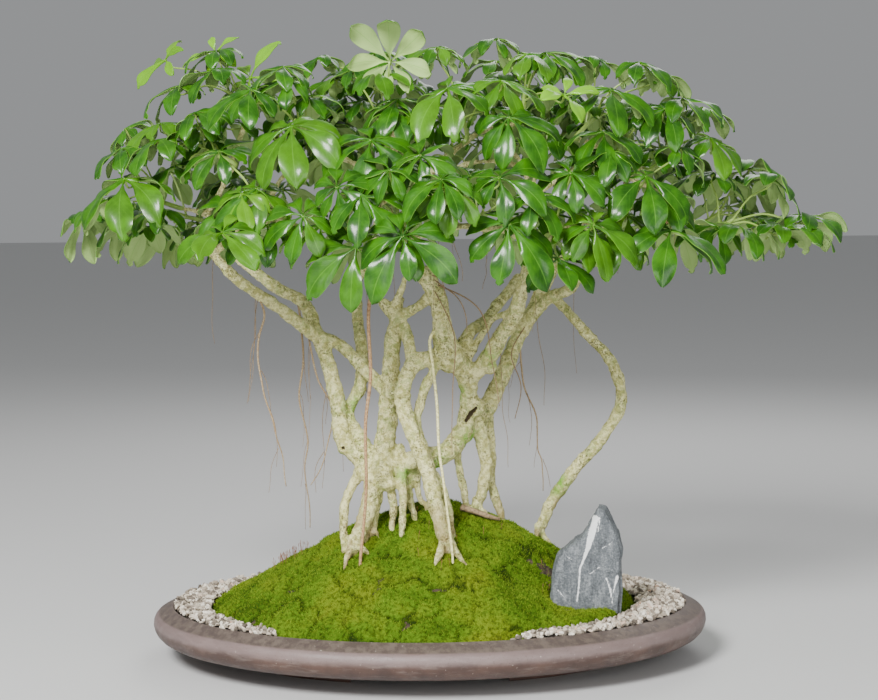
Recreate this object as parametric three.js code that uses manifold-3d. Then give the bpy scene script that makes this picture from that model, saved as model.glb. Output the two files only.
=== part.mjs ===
// Dwarf umbrella tree bonsai in a shallow oval pot.
// Millimetres, +Z up, seen from the -Y side. The foot of the pot stands on z = 0.
import * as THREE from 'three';
import { mergeVertices } from 'three/addons/utils/BufferGeometryUtils.js';
import Module from 'manifold-3d';

const wasm = await Module();
wasm.setup();

// Pot
const potLength = 552;
const potDepth = 414;
const potHeight = 54;
const footHeight = 8;
const footRadius = 197;
const footWidth = 13;
const lipWidth = 17;
const floorTop = 16;
const drainRadius = 9;
const drainSpread = 95;
const endNotchWidth = 90;
const sideNotchWidth = 150;
const sideNotchPlace = 125;
const bedSides = 24;

// Soil, moss and gravel
const seatGap = 0.35;
const mossLength = 430;
const mossDepth = 340;
const mossCentreX = -6;
const mossCentreY = -9;
const mossThickness = 5;
const edgeHeight = 46;
const domeHeight = 62;
const peakHeight = 46;
const peakX = 10;
const peakY = 10;
const peakSpreadX = 120;
const peakSpreadY = 95;
const shelfHeight = 64;
const shelfX = 150;
const shelfY = -85;
const shelfLength = 50;
const shelfDepth = 34;
const shelfHold = 1.25;
const shelfMoss = 6;
const gravelHeight = 53;
const gravelStart = -0.36;
const gravelEnd = 1.26;
const gravelInset = 0.05;
const soilShoulder = 42;

// Tree
const viewDistance = 1900;
const viewHeight = 455;
const viewOffset = 9;
const rootDepth = 16;
const twigRadius = 2.7;
const stemRadius = 2.1;
const petioleRadius = 1.25;
const petioleLength = 64;
const leafletLength = 62;
const leafletCount = 5;
const bladeThickness = 1.5;
const growthSeed = 93;
const crownCentre = new THREE.Vector3(27, 15, 395);
const crownRadii = new THREE.Vector3(335, 190, 185);
const facingRadii = new THREE.Vector3(600, 140, 185);

// A leaflet's form, as shares of its own length
const archPlace = 0.56;
const halfWidth = 0.245;
const shortestLeaflet = 0.56;
const lengthSpread = 0.16;

// A leaf's form, in millimetres
const hubRise = 1;
const valleyReach = 4.2;
const marginLift = 1.2;
const stalkDrop = 9;
const stalkArch = 5;
const stalkSides = 3;
const stalkSteps = 2;

// How a leaf hangs: the lean of its leaflets in radians, and how far their tips turn down
const leastDip = 0.08;
const dipSpread = 0.3;
const tipTurn = 0.35;
const tipSag = 0.15;
const facingLift = 0.6;
const facingSway = 0.5;

// How the leaves of a stem at the back lie round its tip
const spreadAside = 46;
const spreadUp = 40;
const spreadOut = 16;

// Twigs
const twigRoot = 4.6;
const forkRadius = 3.2;
const twigSway = 10;
const twigArch = 7;
const twigEnd = 5;

const up = new THREE.Vector3(0, 0, 1);

const material = (color, roughness) => new THREE.MeshStandardMaterial({ color, roughness, metalness: 0 });
const clay = material(0x58423c, 0.75);
const earth = material(0x3a2d22, 1);
const mossGreen = material(0x5a8214, 1);
const grit = material(0xb4a59b, 0.95);
const slate = material(0x6e7882, 0.7);
const bark = material(0xbeb98c, 0.9);
const leafGreen = material(0x2c6214, 0.25);

// A repeatable draw between 0 and 1 for a whole number.
function draw(number) {
  const wave = Math.sin((number + growthSeed) * 12.9898) * 43758.5453;
  return wave - Math.floor(wave);
}

// A closed geometry as a solid that can be joined and cut.
function toSolid(geometry) {
  const bare = geometry.clone();
  bare.deleteAttribute('normal');
  bare.deleteAttribute('uv');
  const merged = mergeVertices(bare, 1e-4);
  const corners = merged.index.array;
  const kept = [];
  for (let first = 0; first < corners.length; first += 3) {
    const [a, b, c] = corners.slice(first, first + 3);
    if (a !== b && b !== c && c !== a) {
      kept.push(a, b, c);
    }
  }
  const vertProperties = new Float32Array(merged.attributes.position.array);
  return new wasm.Manifold(new wasm.Mesh({ numProp: 3, vertProperties, triVerts: new Uint32Array(kept) }));
}

// Several solids as one.
function join(solids) {
  return solids.reduce((whole, piece) => whole.add(piece));
}

// The main body of a solid, without the loose scraps and sealed pockets that joining can leave.
function mainBody(solid) {
  return solid.decompose().reduce((best, piece) => (piece.volume() > best.volume() ? piece : best));
}

// A solid as a named mesh.
function toMesh(name, solid, look) {
  const mesh = solid.getMesh();
  const geometry = new THREE.BufferGeometry();
  geometry.setAttribute('position', new THREE.BufferAttribute(new Float32Array(mesh.vertProperties), 3));
  geometry.setIndex(new THREE.BufferAttribute(new Uint32Array(mesh.triVerts), 1));
  geometry.computeVertexNormals();
  const made = new THREE.Mesh(geometry, look);
  made.name = name;
  return made;
}

// Moves every corner of a geometry to the place that a function gives for it.
function reshape(geometry, placeOf) {
  const corners = geometry.attributes.position;
  for (let i = 0; i < corners.count; i += 1) {
    const place = placeOf(corners.getX(i), corners.getY(i), corners.getZ(i));
    corners.setXYZ(i, place.x, place.y, place.z);
  }
  return geometry;
}

// Turns a place as sighted from the front, 1.9 m away, into a place in depth.
function sighted([x, z, y]) {
  const nearness = (viewDistance + y) / viewDistance;
  return new THREE.Vector3(
    viewOffset + (x - viewOffset) * nearness,
    y,
    viewHeight + (z - viewHeight) * nearness,
  );
}

// A rod with flat ends along a smooth route. Its radius runs through the given list.
function bentRod(points, radii, sides, steps) {
  const route = new THREE.CatmullRomCurve3(points, false, 'centripetal');
  const frames = route.computeFrenetFrames(steps, false);
  const rod = new THREE.CylinderGeometry(1, 1, 1, sides, steps);
  reshape(rod, (x, y, z) => {
    const along = y + 0.5;
    const step = Math.round(along * steps);
    const slot = Math.min(Math.floor(along * (radii.length - 1)), radii.length - 2);
    const radius = THREE.MathUtils.lerp(radii[slot], radii[slot + 1], along * (radii.length - 1) - slot);
    return route.getPointAt(along)
      .addScaledVector(frames.normals[step], x * radius)
      .addScaledVector(frames.binormals[step], -z * radius);
  });
  return toSolid(rod);
}

// How far the shelf by the stone takes over from the mound, from none at 0 to wholly at 1.
function shelfShare(x, y) {
  const away = ((x - shelfX) / shelfLength) ** 2 + ((y - shelfY) / shelfDepth) ** 2;
  return Math.min(1, shelfHold * Math.exp(-away));
}

// Height of the moss over the pot, as a dome with a soft peak under the trunk and a shelf by the stone.
function mossTop(x, y) {
  const across = (x - mossCentreX) / (mossLength / 2);
  const back = (y - mossCentreY) / (mossDepth / 2);
  const dome = domeHeight * Math.max(0, 1 - across * across - back * back) ** 0.8;
  const peak = peakHeight * Math.exp(-(((x - peakX) / peakSpreadX) ** 2) - ((y - peakY) / peakSpreadY) ** 2);
  const lumps = 1.6 * Math.sin(x / 17 + 1) * Math.cos(y / 14) + 1.1 * Math.sin(x / 9 - y / 11);
  return THREE.MathUtils.lerp(edgeHeight + dome + peak, shelfHeight, shelfShare(x, y)) + lumps;
}

// The pot's outline keeps an even lip: depth and length shrink by the same step.
function potPoint(radius, angle, z) {
  const sideStep = (potLength - potDepth) / 2;
  const smallest = footRadius - footWidth;
  const ratio = (Math.max(radius, smallest) - sideStep) / Math.max(radius, smallest);
  return new THREE.Vector3(radius * Math.cos(angle), radius * ratio * Math.sin(angle), z);
}

// Turned outline laid out on the pot's oval.
function ovalTurning(profile, sides) {
  const outline = profile.map(([radius, z]) => new THREE.Vector2(radius, z));
  const turned = new THREE.LatheGeometry(outline, sides);
  return reshape(turned, (x, y, z) => potPoint(Math.hypot(x, z), Math.atan2(-z, x), y));
}

const outerRadius = potLength / 2;
const innerRadius = outerRadius - lipWidth - 4;

function makePot() {
  const body = toSolid(ovalTurning([
    [0, footHeight - 1],
    [footRadius - footWidth, footHeight - 1],
    [footRadius - footWidth - 1, 0],
    [footRadius, 0],
    [footRadius + 2, footHeight],
    [outerRadius - 16, 20],
    [outerRadius - 3, 23],
    [outerRadius, 29],
    [outerRadius - 1, 40],
    [outerRadius - 6, 46],
    [outerRadius - lipWidth + 2, potHeight - 1],
    [outerRadius - lipWidth, potHeight],
    [innerRadius + 1, potHeight - 2],
    [innerRadius - 4, 30],
    [innerRadius - 16, floorTop],
    [0, floorTop],
  ], bedSides));
  const cuts = [];
  const notchDepth = 80;
  const notchHeight = 2 * (footHeight - 2);
  for (const side of [-1, 1]) {
    const endNotch = new THREE.BoxGeometry(notchDepth, endNotchWidth, notchHeight);
    cuts.push(toSolid(endNotch.translate(side * footRadius, 0, 0)));
    const sideNotch = new THREE.BoxGeometry(sideNotchWidth, notchDepth, notchHeight);
    cuts.push(toSolid(sideNotch.translate(0, side * sideNotchPlace, 0)));
    const drain = new THREE.CylinderGeometry(drainRadius, drainRadius, potHeight, 12);
    cuts.push(toSolid(drain.rotateX(Math.PI / 2).translate(side * drainSpread, 0, 0)));
  }
  return body.subtract(join(cuts));
}

// A point over the bed. Reach 0 is the middle of the moss, 1 its edge and 2 the pot's wall.
function bedPoint(reach, angle, heightAt) {
  const edge = new THREE.Vector3(
    mossCentreX + (mossLength / 2) * Math.cos(angle),
    mossCentreY + (mossDepth / 2) * Math.sin(angle),
    0,
  );
  const middle = new THREE.Vector3(mossCentreX, mossCentreY, 0);
  const wall = potPoint(innerRadius - 5, angle, 0);
  const place = reach <= 1 ? middle.lerp(edge, reach) : edge.lerp(wall, reach - 1);
  return place.setZ(heightAt(place.x, place.y));
}

// Turned shape over the bed: rows of reach and height from the middle below to the middle above.
function bedTurning(rows, sides) {
  const outline = rows.map(([reach], row) => new THREE.Vector2(reach, row));
  const turned = new THREE.LatheGeometry(outline, sides);
  return toSolid(reshape(turned, (x, y, z) => {
    const angle = Math.atan2(-z, x);
    const [reach, heightAt, wallRadius] = rows[Math.round(y)];
    return wallRadius ? potPoint(wallRadius, angle, heightAt()) : bedPoint(reach, angle, heightAt);
  }));
}

const level = (z) => () => z;
const soilTop = (x, y) => mossTop(x, y) - mossThickness - shelfMoss * shelfShare(x, y);

function makeSoil(lift) {
  const ground = (x, y) => soilTop(x, y) + lift;
  return bedTurning([
    [0, level(floorTop + seatGap)],
    [2, level(floorTop + seatGap), innerRadius - 17],
    [2, level(30), innerRadius - 5],
    [2, level(soilShoulder + lift), innerRadius - 5],
    [1.005, level(soilShoulder + lift)],
    [0.94, ground],
    [0.72, ground],
    [0.48, ground],
    [0, ground],
  ], bedSides);
}

function makeMoss(holes) {
  const mound = bedTurning([
    [0, level(soilShoulder - 6)],
    [1, level(soilShoulder - 6)],
    [1, (x, y) => mossTop(x, y) - 3],
    [0.94, mossTop],
    [0.72, mossTop],
    [0.48, mossTop],
    [0.24, mossTop],
    [0, mossTop],
  ], bedSides);
  return mainBody(mound.subtract(makeSoil(seatGap)).subtract(holes));
}

// Grit heaped round the moss, from one end of the open front round the back to the other.
function makeGravel() {
  const around = 64;
  const across = 2;
  const bed = new THREE.BoxGeometry(1, 1, 1, around, across, 1);
  reshape(bed, (x, y, z) => {
    const angle = Math.PI * THREE.MathUtils.lerp(gravelStart, gravelEnd, x + 0.5);
    const reach = THREE.MathUtils.lerp(1.99, 1 + gravelInset, y + 0.5);
    if (z < 0) {
      return bedPoint(reach, angle, level(soilShoulder + seatGap));
    }
    const number = Math.round((x + 0.5) * around) * 7 + Math.round((y + 0.5) * across) * 131;
    const heap = 3 * Math.sin((y + 0.5) * Math.PI) + 3 * (y - 0.5);
    return bedPoint(reach, angle, level(gravelHeight + heap + 3.4 * (draw(number + 1) - 0.5)));
  });
  return toSolid(bed);
}

// Upright slate, broad at the foot and pointed to the back.
function makeStone(extra) {
  const outline = new THREE.Shape([
    [-34, -6], [36, -8], [38, 18], [37, 44], [39, 54], [34, 72], [22, 96],
    [14, 98], [6, 84], [-2, 70], [-14, 62], [-26, 50], [-31, 34],
  ].map(([x, y]) => new THREE.Vector2(x, y)));
  const block = new THREE.ExtrudeGeometry(outline, {
    depth: 24,
    bevelEnabled: true,
    bevelThickness: 6 + extra,
    bevelSize: 3 + extra,
    bevelOffset: -3,
    bevelSegments: 1,
  });
  block.rotateX(Math.PI / 2);
  block.rotateZ(-0.12);
  return toSolid(block.translate(151, -56, 62));
}

// Limbs and roots as [x, z] seen from the front, then y in depth. Radii follow from first to last.
const limbs = [
  { name: 'left back', tip: true, radii: [5.5, 7.5, 9], sides: 5, steps: 8,
    route: [
      [-186, 398, 40], [-154, 372, 30], [-124, 354, 18], [-110, 325, 8], [-92, 266, -8],
      [-83, 213, -18], [-54, 187, -22],
    ],
  },
  { name: 'left front', tip: true, radii: [5, 7], sides: 5, steps: 5,
    route: [[-212, 404, -70], [-192, 381, -62], [-142, 345, -30], [-106, 316, 6]],
  },
  { name: 'left link', radii: [6, 7], sides: 5, steps: 4,
    route: [[-107, 320, 6], [-89, 313, 0], [-60, 284, -12], [-39, 263, -20]],
  },
  { name: 'left upright', tip: true, radii: [6, 6.5, 7], sides: 5, steps: 6,
    route: [
      [-72, 366, 60], [-69, 337, 42], [-66, 275, 8], [-80, 243, -4], [-66, 216, -12],
      [-50, 192, -20],
    ],
  },
  { name: 'middle left', tip: true, radii: [9, 9, 12], sides: 6, steps: 6,
    route: [[-27, 356, -12], [-33, 325, -14], [-39, 263, -20], [-41, 234, -22], [-48, 180, -26]],
  },
  { name: 'short link', radii: [5, 5], sides: 5, steps: 2,
    route: [[-29, 340, -14], [-20, 318, -28], [-16, 296, -44]],
  },
  { name: 'middle', tip: true, radii: [9, 9, 14], sides: 6, steps: 4,
    route: [[-1, 381, -46], [11, 354, -42], [16, 322, -36], [21, 296, -30]],
  },
  { name: 'middle foot', radii: [12, 10, 9, 9], sides: 6, steps: 5,
    route: [[22, 302, -30], [38, 280, -18], [40, 250, -12], [36, 226, -10]],
  },
  { name: 'right rise', radii: [10, 11, 10, 8], sides: 6, steps: 5,
    route: [[-40, 190, -24], [16, 202, -16], [34, 222, -8], [52, 237, 4], [61, 250, 14]],
  },
  { name: 'right front', tip: true, radii: [9, 8, 6.5], sides: 6, steps: 6,
    route: [
      [40, 276, -14], [56, 292, -20], [75, 321, -32], [83, 332, -38], [96, 371, -54],
      [100, 386, -60],
    ],
  },
  { name: 'right middle', tip: true, radii: [7, 6, 5.5], sides: 5, steps: 4,
    route: [[26, 296, -24], [44, 324, 0], [59, 336, 26], [90, 376, 76]],
  },
  { name: 'right back', tip: true, radii: [9, 8, 6], sides: 6, steps: 6,
    route: [
      [58, 246, 12], [70, 270, 24], [86, 308, 44], [99, 334, 58], [120, 375, 84], [129, 391, 94],
    ],
  },
  { name: 'right side', tip: true, radii: [7, 5.5], sides: 5, steps: 4,
    route: [[94, 326, 54], [118, 354, 36], [141, 365, 20], [151, 378, 8]],
  },
  { name: 'cross', radii: [4, 3.5], sides: 5, steps: 3,
    route: [[40, 296, -16], [54, 321, -12], [66, 336, -20], [80, 342, -40]],
  },
];

// Roots that reach the ground. The last point is the foot, as [x, y] on the moss.
const groundRoots = [
  { name: 'outer left', radii: [6, 5, 5.5], sides: 5, steps: 4,
    route: [[-66, 190, -24], [-83, 155, -34], [-86, 134, -44]],
    foot: [-82, -50],
  },
  { name: 'left', radii: [11, 9, 9], sides: 6, steps: 4,
    route: [[-52, 184, -26], [-63, 140, -44]],
    foot: [-74, -56],
  },
  { name: 'left inner', radii: [9, 7, 7], sides: 5, steps: 3,
    route: [[-50, 186, -22], [-55, 145, -32]],
    foot: [-56, -38],
  },
  { name: 'centre left', radii: [6, 4.5, 5], sides: 5, steps: 2,
    route: [[-40, 184, -24], [-36, 150, -34]],
    foot: [-36, -42],
  },
  { name: 'centre', radii: [5, 4.5, 5], sides: 5, steps: 3,
    route: [[-28, 208, -22], [-26, 169, -36]],
    foot: [-26, -56],
  },
  { name: 'centre right', radii: [6, 4, 4.5], sides: 5, steps: 2,
    route: [[-22, 190, -20], [-19, 155, -26]],
    foot: [-14, -32],
  },
  { name: 'inner right', radii: [6, 3.6, 4], sides: 5, steps: 2,
    route: [[-12, 194, -20], [-9, 155, -18]],
    foot: [-2, -18],
  },
  { name: 'loop', radii: [8, 8, 8, 7.5, 10], sides: 6, steps: 8,
    route: [
      [14, 300, -32], [-14, 291, -46], [-25, 263, -56], [-22, 240, -60], [-4, 193, -66],
      [8, 146, -72],
    ],
    foot: [16, -75],
  },
  { name: 'loop twin', radii: [5, 5, 5], sides: 5, steps: 6,
    route: [[8, 290, -40], [-5, 262, -46], [-11, 232, -48], [2, 190, -56], [16, 160, -58]],
    foot: [23, -58],
  },
  { name: 'right inner', radii: [5, 4, 5], sides: 5, steps: 3,
    route: [[28, 216, -10], [31, 182, -4]],
    foot: [38, 0],
  },
  { name: 'right', radii: [8, 7, 6.5, 7], sides: 5, steps: 4,
    route: [[50, 236, 0], [57, 185, 2], [53, 162, 4]],
    foot: [46, 8],
  },
  { name: 'right outer', radii: [6, 5.5, 6], sides: 5, steps: 4,
    route: [[59, 238, 12], [63, 202, 14], [61, 179, 14]],
    foot: [73, 16],
  },
  { name: 'arch', radii: [5, 5.5, 6, 6.5, 8], sides: 6, steps: 12,
    route: [
      [114, 362, 74], [129, 353, 66], [158, 321, 52], [186, 286, 40], [191, 246, 34],
      [171, 214, 30], [128, 161, 26],
    ],
    foot: [110, 22],
  },
  { name: 'pale thread', radii: [1.8, 1.8], sides: 4, steps: 6,
    route: [
      [14, 330, -36], [3, 318, -44], [5, 290, -52], [9, 245, -72], [11, 205, -80], [16, 165, -84],
    ],
    foot: [22, -88],
  },
  { name: 'brown thread', radii: [1.8, 1.8], sides: 4, steps: 6,
    route: [
      [-30, 348, -14], [-48, 350, -40], [-58, 330, -60], [-57, 278, -68], [-62, 235, -70],
      [-63, 169, -72],
    ],
    foot: [-66, -78],
  },
];

// Fine roots that hang free below the crown.
const hangingRoots = [
  [[-170, 364, -46], [-162, 342, -48], [-168, 318, -50], [-166, 287, -50], [-155, 234, -50], [-143, 169, -50]],
  [[-128, 352, 16], [-124, 301, 16], [-127, 263, 14], [-120, 213, 14], [-124, 187, 12], [-120, 128, 12]],
  [[-119, 344, 14], [-118, 316, 6], [-108, 276, 2], [-94, 244, -2], [-104, 205, -4], [-119, 172, -4]],
  [[91, 330, 54], [96, 272, 56], [107, 237, 56], [109, 205, 56], [115, 193, 54], [114, 161, 54]],
];
const hangingRadius = 1.3;

// A rod for each limb in the list.
function rodsFrom(list) {
  return list.map(({ route, radii, sides, steps }) => bentRod(route.map(sighted), radii, sides, steps));
}

// The roots that stand in the ground, or with some extra width the holes they stand in.
function makeGroundRoots(extra) {
  return join(groundRoots.map(({ route, foot: [x, y], radii, sides, steps }) => {
    const way = route.map(sighted);
    way.push(new THREE.Vector3(x, y, mossTop(x, y)));
    way.push(new THREE.Vector3(x, y, mossTop(x, y) - rootDepth - extra));
    return bentRod(way, radii.map((radius) => radius + extra), sides, steps + 1);
  }));
}

// Leaves seen from the front, one list for each leafy stem: the middle of each leaf as [x, z] seen
// from the front, y in depth, and its size against a full-grown one.
const frontShoots = [
  [[-298, 478, -60, 1.15], [-273, 431, 10, 0.85], [-340, 440, 40, 0.9], [-296, 527, 20, 0.65]],
  [[-202, 424, -172, 0.95], [-204, 504, -95, 1], [-182, 462, -140, 0.75]],
  [[-255, 594, 60, 0.75], [-206, 600, 40, 0.75], [-245, 568, 10, 0.8], [-172, 576, 40, 0.75]],
  [[-132, 528, -130, 1.1], [-136, 574, -80, 0.85], [-172, 562, -30, 0.85]],
  [[-122, 440, -175, 0.8], [-88, 468, -182, 0.8]],
  [[-54, 514, -140, 1], [-36, 546, -96, 0.85], [-70, 584, -20, 0.8]],
  [[-70, 408, -185, 1.05], [-24, 419, -220, 1.1], [-6, 498, -180, 0.85]],
  [[82, 430, -190, 1.05], [72, 476, -180, 0.95], [31, 464, -208, 0.75]],
  [[143, 480, -150, 1], [130, 396, -150, 0.8], [165, 429, -160, 0.9]],
  [[217, 476, -110, 1.05], [242, 423, -125, 1.05], [199, 438, -92, 0.75], [252, 504, -60, 0.8]],
  [[343, 472, -10, 0.85], [376, 436, 10, 1], [329, 428, 30, 0.75], [288, 426, -20, 0.8]],
  [[281, 513, -20, 0.85], [274, 543, 20, 0.75], [236, 542, -48, 0.85], [290, 478, 36, 0.8]],
  [[22, 564, -118, 1.1], [82, 535, -150, 0.95], [12, 604, -52, 0.85]],
  [[72, 612, -4, 0.85], [119, 598, -48, 0.95], [137, 556, -112, 0.7]],
  [[182, 562, -76, 1.05], [176, 520, -92, 0.85], [170, 592, 10, 0.85], [232, 578, 0, 0.8]],
  [[-48, 620, 0, 0.95], [-10, 616, 44, 0.8], [-102, 602, 22, 0.8]],
  [[-228, 542, -34, 0.8], [-262, 532, -10, 0.8], [-248, 490, -20, 0.8]],
];

// Rings of leafy stems round the back: height angle, how many, how far out they lie, and the share
// of the half turn that stays free at each end.
const backRings = [
  { rise: 16, count: 6, reach: 1, free: 0.05 },
  { rise: 46, count: 5, reach: 1, free: 0.1 },
  { rise: 62, count: 2, reach: 1, free: 0.18 },
];
const backLeaves = 3;

// The leaves of a stem at the back fan out round the way that leads out of the crown.
function backShoot(rise, turn, reach, number) {
  const lift = THREE.MathUtils.degToRad(rise);
  const out = new THREE.Vector3(
    Math.cos(turn) * Math.cos(lift),
    Math.sin(turn) * Math.cos(lift),
    Math.sin(lift),
  );
  const tip = out.clone().multiply(crownRadii).multiplyScalar(reach).add(crownCentre);
  const side = new THREE.Vector3().crossVectors(up, out).normalize();
  const over = new THREE.Vector3().crossVectors(out, side);
  const leaves = [];
  for (let leaf = 0; leaf < backLeaves; leaf += 1) {
    const swing = (2 * Math.PI * (leaf + draw(number * 9 + 1))) / backLeaves;
    const spot = tip.clone()
      .addScaledVector(side, spreadAside * Math.cos(swing))
      .addScaledVector(over, spreadUp * Math.sin(swing))
      .addScaledVector(out, spreadOut * draw(number * 9 + leaf + 2));
    leaves.push({ hub: spot, size: 0.85 + 0.25 * draw(number * 9 + leaf + 5) });
  }
  return leaves;
}

// The leaves of every leafy stem, at the front and round the back.
function allShoots() {
  const shoots = frontShoots.map((list) => list.map(([x, z, y, size]) => ({ hub: sighted([x, z, y]), size })));
  for (const { rise, count, reach, free } of backRings) {
    for (let place = 0; place < count; place += 1) {
      const turn = Math.PI * (free + ((1 - 2 * free) * (place + 0.5)) / count);
      shoots.push(backShoot(rise, turn, reach, shoots.length));
    }
  }
  return shoots;
}

// A leafy stem starts inside the crown, below the middle of its leaves.
function shootBase(leaves) {
  const middle = middleOf(leaves);
  const inward = crownCentre.clone().sub(middle);
  inward.z -= 40;
  return middle.addScaledVector(inward.normalize(), petioleLength);
}

// The corners of one leaflet: its rib above and below, its margins and its tip.
function leafletCorners(hub, facing, out, across, reach, dip) {
  const lean = out.clone().multiplyScalar(Math.cos(dip)).addScaledVector(facing, -Math.sin(dip));
  const middle = hub.clone().addScaledVector(lean, archPlace * reach);
  const fall = lean.addScaledVector(facing, -tipTurn).addScaledVector(up, -tipSag).normalize();
  const beside = (aside, rise) => middle.clone().addScaledVector(across, aside).addScaledVector(facing, rise);
  return [
    beside(0, bladeThickness / 2 - marginLift),
    beside(0, -bladeThickness / 2 - marginLift),
    beside(-halfWidth * reach, marginLift),
    beside(halfWidth * reach, marginLift),
    middle.clone().addScaledVector(fall, (1 - archPlace) * reach),
  ];
}

// Rings of corners along a leaf stalk, from under the hub to where it leaves the stem.
function stalkRings(hub, facing, heading, stalkStart) {
  const route = new THREE.CatmullRomCurve3([
    hub.clone().addScaledVector(facing, -hubRise),
    hub.clone().addScaledVector(facing, -stalkDrop),
    hub.clone().lerp(stalkStart, 0.55).addScaledVector(up, stalkArch),
    stalkStart,
  ], false, 'centripetal');
  const rings = [];
  for (let step = 0; step <= stalkSteps; step += 1) {
    const centre = route.getPointAt(step / stalkSteps);
    const tangent = route.getTangentAt(step / stalkSteps);
    const across = heading.clone().addScaledVector(tangent, -heading.dot(tangent)).normalize();
    const beside = new THREE.Vector3().crossVectors(across, tangent);
    const ring = [];
    for (let i = 0; i < stalkSides; i += 1) {
      const turn = (2 * Math.PI * i) / stalkSides;
      const arm = across.clone().multiplyScalar(Math.cos(turn)).addScaledVector(beside, Math.sin(turn));
      ring.push(arm.multiplyScalar(petioleRadius).add(centre));
    }
    rings.push(ring);
  }
  return rings;
}

// Faces that close the underside of the leaflets round the top ring of the stalk.
function closeUnderside(under, ring) {
  const faces = [];
  const again = under.slice(0, 2).map(({ corner, angle }) => ({ corner, angle: angle + 2 * Math.PI }));
  const loop = [...under, ...again];
  const nearest = (one, other) => {
    const sides = ((one.angle + other.angle) / 2) / ((2 * Math.PI) / stalkSides);
    return THREE.MathUtils.euclideanModulo(Math.round(sides), stalkSides);
  };
  for (let i = 0; i < under.length; i += 1) {
    const [here, next, after] = loop.slice(i, i + 3);
    const used = nearest(here, next);
    const usedNext = nearest(next, after);
    faces.push(next.corner, here.corner, ring[used]);
    if (usedNext !== used) {
      faces.push(next.corner, ring[used], ring[usedNext]);
    }
  }
  return faces;
}

// Faces along the stalk and over its lower end.
function closeStalk(rings) {
  const faces = [];
  for (let step = 0; step < stalkSteps; step += 1) {
    for (let i = 0; i < stalkSides; i += 1) {
      const j = (i + 1) % stalkSides;
      const [a, b] = [rings[step][i], rings[step][j]];
      const [c, d] = [rings[step + 1][i], rings[step + 1][j]];
      faces.push(a, d, b, a, c, d);
    }
  }
  const [first, second, third] = rings[stalkSteps];
  faces.push(first, third, second);
  return faces;
}

// One leaf: leaflets round a hub in one arched blade, with its stalk running back into the stem.
function makeLeaf(hub, facing, heading, stalkStart, length, number) {
  const side = new THREE.Vector3().crossVectors(facing, heading);
  const outward = (angle) => (
    heading.clone().multiplyScalar(Math.cos(angle)).addScaledVector(side, Math.sin(angle)));
  const slice = (2 * Math.PI) / leafletCount;
  const corners = [];
  const faces = [];
  const add = (point) => corners.push(point) - 1;
  const top = add(hub.clone().addScaledVector(facing, hubRise));
  const valleys = [];
  for (let i = 0; i < leafletCount; i += 1) {
    valleys.push(add(outward((i - 0.5) * slice).multiplyScalar(valleyReach).add(hub)));
  }
  const under = [];
  for (let i = 0; i < leafletCount; i += 1) {
    const angle = i * slice;
    const span = THREE.MathUtils.lerp(shortestLeaflet, 1, 0.5 + 0.5 * Math.cos(angle));
    const reach = length * span * (1 + lengthSpread * (draw(number * 31 + i) - 0.5));
    const dip = leastDip + dipSpread * draw(number * 37 + i);
    const places = leafletCorners(hub, facing, outward(angle), outward(angle + Math.PI / 2), reach, dip);
    const [ribTop, ribUnder, right, left, end] = places.map(add);
    const before = valleys[i];
    const after = valleys[(i + 1) % leafletCount];
    const rim = [before, right, end, left, after];
    for (let corner = 0; corner < rim.length - 1; corner += 1) {
      faces.push(rim[corner], rim[corner + 1], ribTop);
      faces.push(rim[corner + 1], rim[corner], ribUnder);
    }
    faces.push(top, before, ribTop, top, ribTop, after);
    under.push({ corner: before, angle: (i - 0.5) * slice }, { corner: ribUnder, angle });
  }
  const rings = stalkRings(hub, facing, heading, stalkStart).map((ring) => ring.map(add));
  faces.push(...closeUnderside(under, rings[0]), ...closeStalk(rings));
  return toSolid(new THREE.BufferGeometry().setFromPoints(corners).setIndex(faces));
}

// The middle of the leaves of a stem.
function middleOf(leaves) {
  const middle = new THREE.Vector3();
  leaves.forEach(({ hub }) => middle.addScaledVector(hub, 1 / leaves.length));
  return middle;
}

// One leafy stem, from its base on a twig to its leaves.
function makeShoot(leaves, base, direction, number) {
  const stemRoute = new THREE.CatmullRomCurve3([
    base.clone().addScaledVector(direction, 0.3),
    base.clone().addScaledVector(direction, 7),
    middleOf(leaves).lerp(base, 0.5),
  ], false, 'centripetal');
  const stem = bentRod(stemRoute.points, [stemRadius + 0.5, stemRadius], 4, 2);
  const blades = leaves.map(({ hub, size }, leaf) => {
    const key = number * 17 + leaf * 3;
    const facing = hub.clone().sub(crownCentre).divide(facingRadii).addScaledVector(up, facingLift);
    facing.x += facingSway * (draw(key) - 0.5);
    facing.y += facingSway * (draw(key + 1) - 0.5);
    facing.normalize();
    const start = stemRoute.getPointAt(0.97 - (0.5 * leaf) / leaves.length);
    const heading = hub.clone().sub(start);
    heading.addScaledVector(facing, -heading.dot(facing)).normalize();
    return makeLeaf(hub, facing, heading, start, leafletLength * size, key);
  });
  return join([stem, ...blades]);
}

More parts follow.
